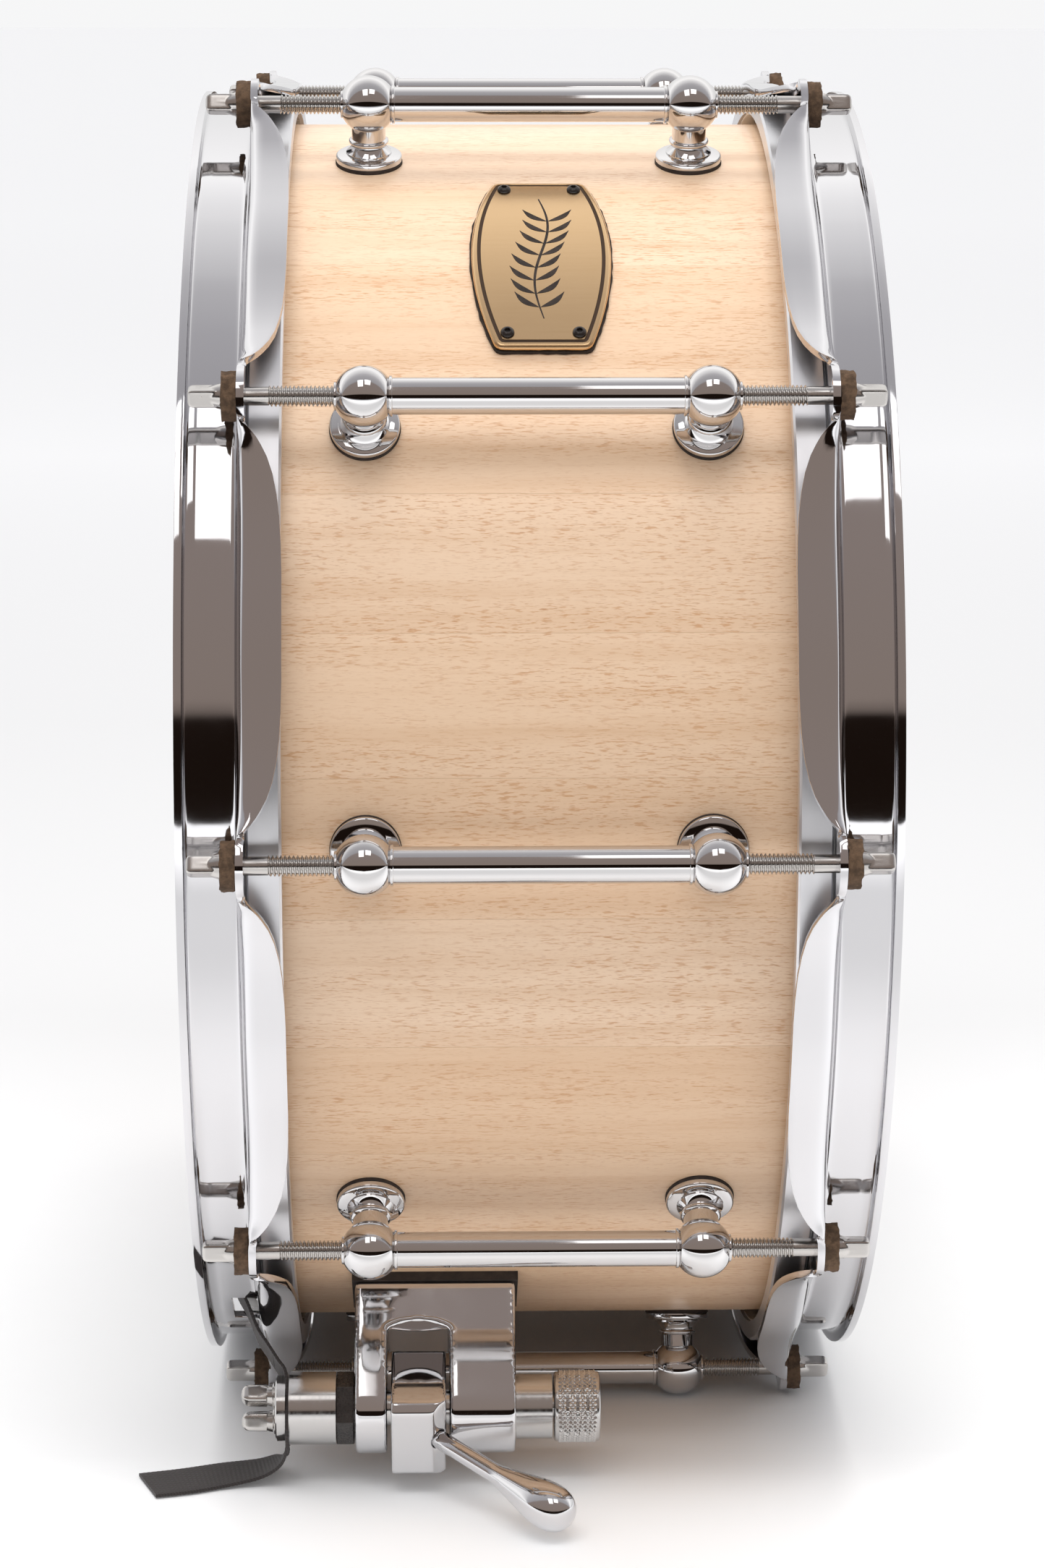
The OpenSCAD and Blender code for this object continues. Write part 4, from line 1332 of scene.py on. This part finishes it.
def smooth_path(values, count):
    """Catmull-Rom curve through the rows of values, at even steps of its length."""
    v = np.array(values, float)
    v = np.vstack([2 * v[0] - v[1], v, 2 * v[-1] - v[-2]])
    dense = []
    for i in range(1, len(v) - 2):
        a, b, c, d = v[i - 1:i + 3]
        for s in np.linspace(0, 1, 40, endpoint=False):
            dense.append(0.5 * (2 * b + (c - a) * s + (2 * a - 5 * b + 4 * c - d) * s ** 2
                                + (3 * b - a - 3 * c + d) * s ** 3))
    dense.append(v[-2])
    dense = np.array(dense)
    run = np.concatenate([[0], np.cumsum(np.linalg.norm(np.diff(dense[:, :3], axis=0), axis=1))])
    at = np.linspace(0, run[-1], count)
    return np.column_stack([np.interp(at, run, dense[:, k]) for k in range(dense.shape[1])]), run[-1]


def ribbon(name, middle, half, matrix, start=0.0):
    """Ribbed ribbon along middle, in millimetres, with half-width vectors half. Where half is
    None the ribbon lies straight across."""
    half = [(0, STRAP_HALF, 0)] * len(middle) if half is None else half
    rows = np.hstack([np.array(middle, float), np.array(half, float)])
    _, length = smooth_path(rows, 50)
    steps = max(int(length / RIB * 4), 8)
    path, length = smooth_path(rows, steps + 1)
    mid, wide = path[:, :3], path[:, 3:]
    wide = wide / np.linalg.norm(wide, axis=1)[:, None] * STRAP_HALF
    way = np.gradient(mid, axis=0)
    flat = np.cross(wide, way)
    flat /= np.linalg.norm(flat, axis=1)[:, None]
    across = [-1.0, -0.985, -0.93, -0.6, -0.2, 0.2, 0.6, 0.93, 0.985, 1.0]
    points, faces, spots = [], [], []
    for i in range(steps + 1):
        rib = 0.5 - 0.5 * math.cos(math.tau * i / 4)
        for side in (1, -1):
            for u in (across if side > 0 else across[::-1]):
                rim = 0.55 if abs(u) > 0.99 else (0.9 if abs(u) > 0.98 else 1.0)
                up = (STRAP_T / 2 - RIB_HIGH * (1 - rib) * (0.4 if abs(u) > 0.92 else 1.0)) * rim
                points.append(mid[i] + wide[i] * u + flat[i] * up * side)
                spots.append(((start + i / steps * length) * MM, u * STRAP_HALF * MM))
    n = 2 * len(across)
    for i in range(steps):
        for k in range(n):
            m = (k + 1) % n
            faces.append((i * n + k, (i + 1) * n + k, (i + 1) * n + m, i * n + m))
    for end, order in ((0, 1), (steps, -1)):
        for k in range(len(across) - 1):
            quad = [end * n + k, end * n + k + 1, end * n + n - 2 - k, end * n + n - 1 - k]
            faces.append(tuple(quad[::order]))
    mesh = mesh_of(name, points, faces, matrix)
    layer = mesh.uv_layers.new(name="cloth")
    for loop in mesh.loops:
        layer.data[loop.index].uv = spots[loop.vertex_index]
    face_outwards(mesh)
    piece = new_object(name, mesh, ribbon_cloth)
    shade(mesh, 50)
    return piece, length


print("ribbon tool ready")

# %% [markdown]
# At the strainer the strap is drawn as two ribbons, split where the piston ends: the lead below
# it and the short piece into the clamp.

# %% Strap at the strainer
# [along, out] over the hoop's gate, the same on both sides of the drum
GATE_PATH = [(-86.1, 140), (-86.1, 146), (-86.1, 153), (-84.4, 158), (-84.0, 166), (-84, 175),
             (-83.3, 178.6), (-80.3, 184.2)]
LEAD = GATE_PATH + [(-77.2, 191.8), (-74.2, 196.5), (-71.2, 201.2), (-69.4, 203.8),
                    (-68.75, 207.5), (-68.7, 213), (-68.7, 218), (-68.7, 222.0)]
SPLIT_OUT = 199.0        # the piston's end, where the lead ends and the grip begins
lead_all = [(x, 0.0, r) for x, r in LEAD]
at_strainer = station(STRAINER_ANGLE)
dense, _ = smooth_path(np.array(lead_all), 400)
split = int(np.argmin(abs(dense[:, 2] - SPLIT_OUT)))
below, above = dense[:split + 1:6], dense[split::6]
below[-1] = above[0] = dense[split]
lead, lead_length = ribbon("strap_lead_ribbon", below, None, at_strainer)
grip, grip_length = ribbon("strap_grip_ribbon", above, None, at_strainer, lead_length)
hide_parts("strap_lead")
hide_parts("strap_grip")
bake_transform(lead)
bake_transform(grip)
print("strap lead", round(lead_length, 1), "mm, in the clamp", round(grip_length, 1), "mm")

# %% [markdown]
# The loose end leaves the clamp, falls to the floor and lies there, turned a little, with its
# tip cut at a slant. It rides with the clamp.

# %% Strap's loose end
TAIL_MID = [(-68.7, -130.72, 13.58), (-69.1, -129, 10), (-71.5, -125.2, 6), (-77, -122.6, 2.4),
            (-87.2, -123.5, 0.9), (-97.4, -127.1, 0.7), (-108, -130, 0.7)]
TAIL_HALF = [(0, -6.88, 5), (0.4, -7.4, 4.1), (1, -8.25, 1.9), (1.05, -8.45, 0.8),
             (1.3, -8.5, 0.1), (2.1, -8.3, 0), (3.4, -9, 0)]
on_floor = Matrix.Translation((CENTRE.x, 0, 0)) @ Matrix.Scale(MM, 4)
tail, tail_length = ribbon("strap_tail_ribbon", TAIL_MID, TAIL_HALF, on_floor,
                           lead_length + grip_length)
done(tail, "clamp", "strap_ribbon", "strap_tail")
print("loose end", round(tail_length, 1), "mm")

# %% [markdown]
# On the far side the same ribbon runs from the snares to the butt plate and is squeezed under
# its top plate.

# %% Strap at the butt
BUTT = GATE_PATH + [(-77.2, 191.0), (-72.5, 194.6), (-66, 196.1), (-60, 196.5), (-50, 196.5),
                    (-40.5, 196.5)]
butt_ribbon, butt_length = ribbon("strap_butt_ribbon", [(x, 0.0, r) for x, r in BUTT], None,
                                  station(BUTT_ANGLE))
done(butt_ribbon, "drum", "strap_ribbon", "butt_strap")
print("butt strap", round(butt_length, 1), "mm")

# %% [markdown]
# ## Snares
#
# Twenty strands of fine steel wire, each wound as a long open spring, run across the lower
# head between the two end plates. One tree winds a spring, gives it thickness, and lays the
# strands side by side.

# %% Snare tree
def snare_tree():
    graph, given = new_tree("Snare strands", [
        ("Strands", "Int", 20), ("Spacing", "Float", 0.0021), ("Length", "Float", 0.278),
        ("Turns", "Float", 165.0), ("Coil radius", "Float", 0.00062), ("Wire", "Float", 0.00018),
        ("Finish", "Material", None)])
    coil = graph.add("GeometryNodeCurveSpiral", None, {
        "Resolution": 7, "Rotations": given("Turns"), "Start Radius": given("Coil radius"),
        "End Radius": given("Coil radius"), "Height": given("Length")})
    ring = graph.add("GeometryNodeCurvePrimitiveCircle", None,
                     {"Resolution": 3, "Radius": given("Wire")})
    wire = graph.add("GeometryNodeCurveToMesh", None, {"Curve": coil, "Profile Curve": ring,
                                                       "Fill Caps": True})
    step = graph.add("ShaderNodeCombineXYZ", None, {1: given("Spacing")})
    spots = graph.add("GeometryNodeMeshLine", None, {"Count": given("Strands"), "Offset": step})
    rows = graph.add("GeometryNodeInstanceOnPoints", None, {"Points": spots, "Instance": wire})
    return end_tree(graph, rows, given("Finish"))


strands = grow(snare_tree(), "snare_coils", finish=snare_steel)
SNARE_X, FIRST_STRAND, SNARE_END = -83.8, -9.5 * 2.1, -139.0
strands.data.transform(station(STRAINER_ANGLE)
                       @ Matrix.Translation((SNARE_X, FIRST_STRAND, SNARE_END))
                       @ Matrix.Scale(1 / MM, 4))
shade(strands.data, 60)
done(strands, "drum", "snare_steel", "snare_wires")

# %% [markdown]
# ## CAD parts that only need a finish
#
# Plain turned or flat parts are already right, so they keep the CAD mesh and get a finish.

# %% Finishes on CAD parts
use(coated_film, "batter_film")
use(clear_film, "snare_film")
use(flesh_metal, "batter_flesh_hoop", "snare_flesh_hoop")
use(gasket_rubber, "strainer_gasket", "butt_gasket")
use(plain_steel, "lug_screws", "lug_washers", "strainer_screws", "butt_mount_screws")
use(grommet_brass, "vent_grommet")
use(turned_steel, "piston", "tension_screw")
print("shown CAD nodes:", sorted(n for n, o in nodes.items() if not o.hide_render))

# %% [markdown]
# ## Floor
#
# A large pale sheet under the drum. It ends some way in front, as a table does, so that low
# mirror surfaces reflect bright floor and then the darker room. Its base colour and a faint
# emission change with the distance from the drum. They are painted shade and painted light,
# standing in for the way that spill from studio lamps falls on a sweep.

# %% Floor
FLOOR_FRONT, FLOOR_SIDE, FLOOR_BACK = -1.75, 14.0, 60.0
# [y, amount] of painted light: emission that brightens the floor far in front, in a strip just
# before the drum where its shadow falls, and far behind
PAINTED_LIGHT_GLOW = [(-1.7, 0.95), (-1.0, 0.75), (-0.7, 0.1), (-0.4, 0.05), (-0.24, 0.22), (-0.17, 0.2),
        (-0.1, 0.0), (0.9, 0.0), (2.3, 0.06), (6.0, 0.1)]
# [y, grey] of the base colour, as painted shade: darker far in front of the drum and a little way
# behind it, to take away light that the lamps give there
PAINTED_SHADE_TONE = [(-1.7, 0.6), (-0.45, 0.68), (-0.2, 0.92), (0.1, 0.9), (0.36, 0.72), (1.0, 0.76),
        (2.3, 0.93), (6.0, 0.93)]
floor_mesh = mesh_of("floor", [(-FLOOR_SIDE, FLOOR_FRONT, 0), (FLOOR_SIDE, FLOOR_FRONT, 0),
                               (FLOOR_SIDE, FLOOR_BACK, 0), (-FLOOR_SIDE, FLOOR_BACK, 0)],
                     [(0, 1, 2, 3)], Matrix.Translation((0, 0, -0.0002)))
paper = Finish("floor_paper", specular_ior_level=0.2, emission_strength=1.0)
grain = paper.noise(paper.place(), 3.0, 3.0)
depth = paper.add("ShaderNodeSeparateXYZ", None, {0: paper.place()}).out(1)
start, spread = PAINTED_LIGHT_GLOW[0][0], PAINTED_LIGHT_GLOW[-1][0] - PAINTED_LIGHT_GLOW[0][0]
along_floor = (depth - start) / spread
painted_glow, tone = (paper.add("ShaderNodeValToRGB", {"stops": [
    ((y - start) / spread, (g, g, g)) for y, g in stops]}, {0: along_floor})
    for stops in (PAINTED_LIGHT_GLOW, PAINTED_SHADE_TONE))
# the base colour carries the painted shade, and the emission carries the painted light
paper.feed(Base_Color=paper.mix(grain * 0.03, tone, (0.86, 0.86, 0.87)),
           Roughness=grain * 0.1 + 0.7, Emission_Color=painted_glow)
floor = new_object("floor", floor_mesh, paper.material)
print("floor from y =", FLOOR_FRONT)

# %% [markdown]
# ## Light
#
# Two mirrored soft boxes with a gap between them give the paired highlights of a studio, and
# three more only give light. For mirrors the room is a gradient by the angle above the floor in
# front: dark at eye level, warm grey above, then paler overhead. Dull surfaces get a dome that
# is dim at the horizon. What the camera itself sees beyond the floor is nearly white.

# %% Room and soft boxes
world = bpy.data.worlds.new("room")
bpy.context.scene.world = world
world.use_nodes = True
sky = Graph(world.node_tree)
for old in list(world.node_tree.nodes):
    world.node_tree.nodes.remove(old)
aim = sky.add("ShaderNodeTexCoord", out="Generated")
parts = sky.add("ShaderNodeSeparateXYZ", None, {0: aim})
PEAK = 1.4               # the brightest stop, because a ramp's colours end at 1
# [degrees above the floor in front, colour], on over the top to the back
GRADIENT = [(-180, (0.5, 0.5, 0.51)), (-8.8, (0.8, 0.8, 0.83)), (-7.6, (0.012, 0.007, 0.005)),
            (11.8, (0.012, 0.007, 0.005)), (13.0, (0.31, 0.25, 0.218)),
            (60, (0.32, 0.265, 0.245)), (66, (0.45, 0.44, 0.455)), (84, (0.53, 0.52, 0.54)),
            (93, (0.63, 0.62, 0.635)), (103, (0.86, 0.85, 0.86)), (116, (1.12, 1.11, 1.11)),
            (127, (1.38, 1.37, 1.36)), (180, (0.8, 0.8, 0.8))]
rise = parts.out(2).math("ARCTAN2", parts.out(1) * -1.0) * (180 / math.pi)
room = sky.add("ShaderNodeValToRGB", {"stops": [
    (angle / 360 + 0.5, tuple(c / PEAK for c in colour)) for angle, colour in GRADIENT]},
    {0: rise / 360 + 0.5})
path = sky.add("ShaderNodeLightPath")
seen = path.out("Is Camera Ray")
shine = path.out("Is Glossy Ray")
dome = sky.add("ShaderNodeValToRGB", {"stops": [
    (0.0, (0.05, 0.05, 0.05)), (0.5, (0.05, 0.05, 0.05)), (0.66, (0.32, 0.32, 0.33)),
    (0.85, (1.05, 1.05, 1.07)), (1.0, (1.2, 1.2, 1.22))]}, {0: parts.out(2) * 0.5 + 0.5})
soft = sky.add("ShaderNodeBackground", None, {0: dome, 1: 1.0})
mirror = sky.add("ShaderNodeBackground", None, {0: room, 1: PEAK})
white = sky.add("ShaderNodeBackground", None, {0: (0.925, 0.925, 0.93, 1.0), 1: 1.0})
lit = sky.add("ShaderNodeMixShader", None, {0: shine, 1: soft, 2: mirror})
both = sky.add("ShaderNodeMixShader", None, {0: seen, 1: lit, 2: white})
sky.add("ShaderNodeOutputWorld", None, {0: both})


def soft_box(name, place, wide, high, power, mirrored=False, tint=(1, 1, 1)):
    """A rectangular lamp aimed at the drum. Only a mirrored one shows in the chrome."""
    lamp = bpy.data.lights.new(name, "AREA")
    lamp.shape, lamp.size, lamp.size_y = "RECTANGLE", wide, high     # metres
    lamp.energy, lamp.color = power, tint
    thing = bpy.data.objects.new(name, lamp)
    bpy.context.scene.collection.objects.link(thing)
    thing.location = place
    thing.rotation_euler = (Vector((place[0], 0, 0.2)) - Vector(place)).to_track_quat(
        "-Z", "Y").to_euler()
    thing.visible_camera, thing.visible_glossy = False, mirrored


soft_box("left_card", (-0.335, -1.075, 1.62), 0.53, 0.76, 1.9, True)
soft_box("right_card", (0.375, -0.985, 1.70), 0.58, 0.58, 1.55, True)
soft_box("key_box", (-0.1, -0.9, 1.75), 1.3, 0.6, 6.3)
soft_box("top_box", (0.0, 0.25, 1.9), 0.9, 0.6, 12, tint=(1.0, 0.985, 0.96))
soft_box("side_box", (1.5, -0.5, 0.9), 0.7, 0.9, 2.0)

# %% Finish
bpy.context.view_layer.update()
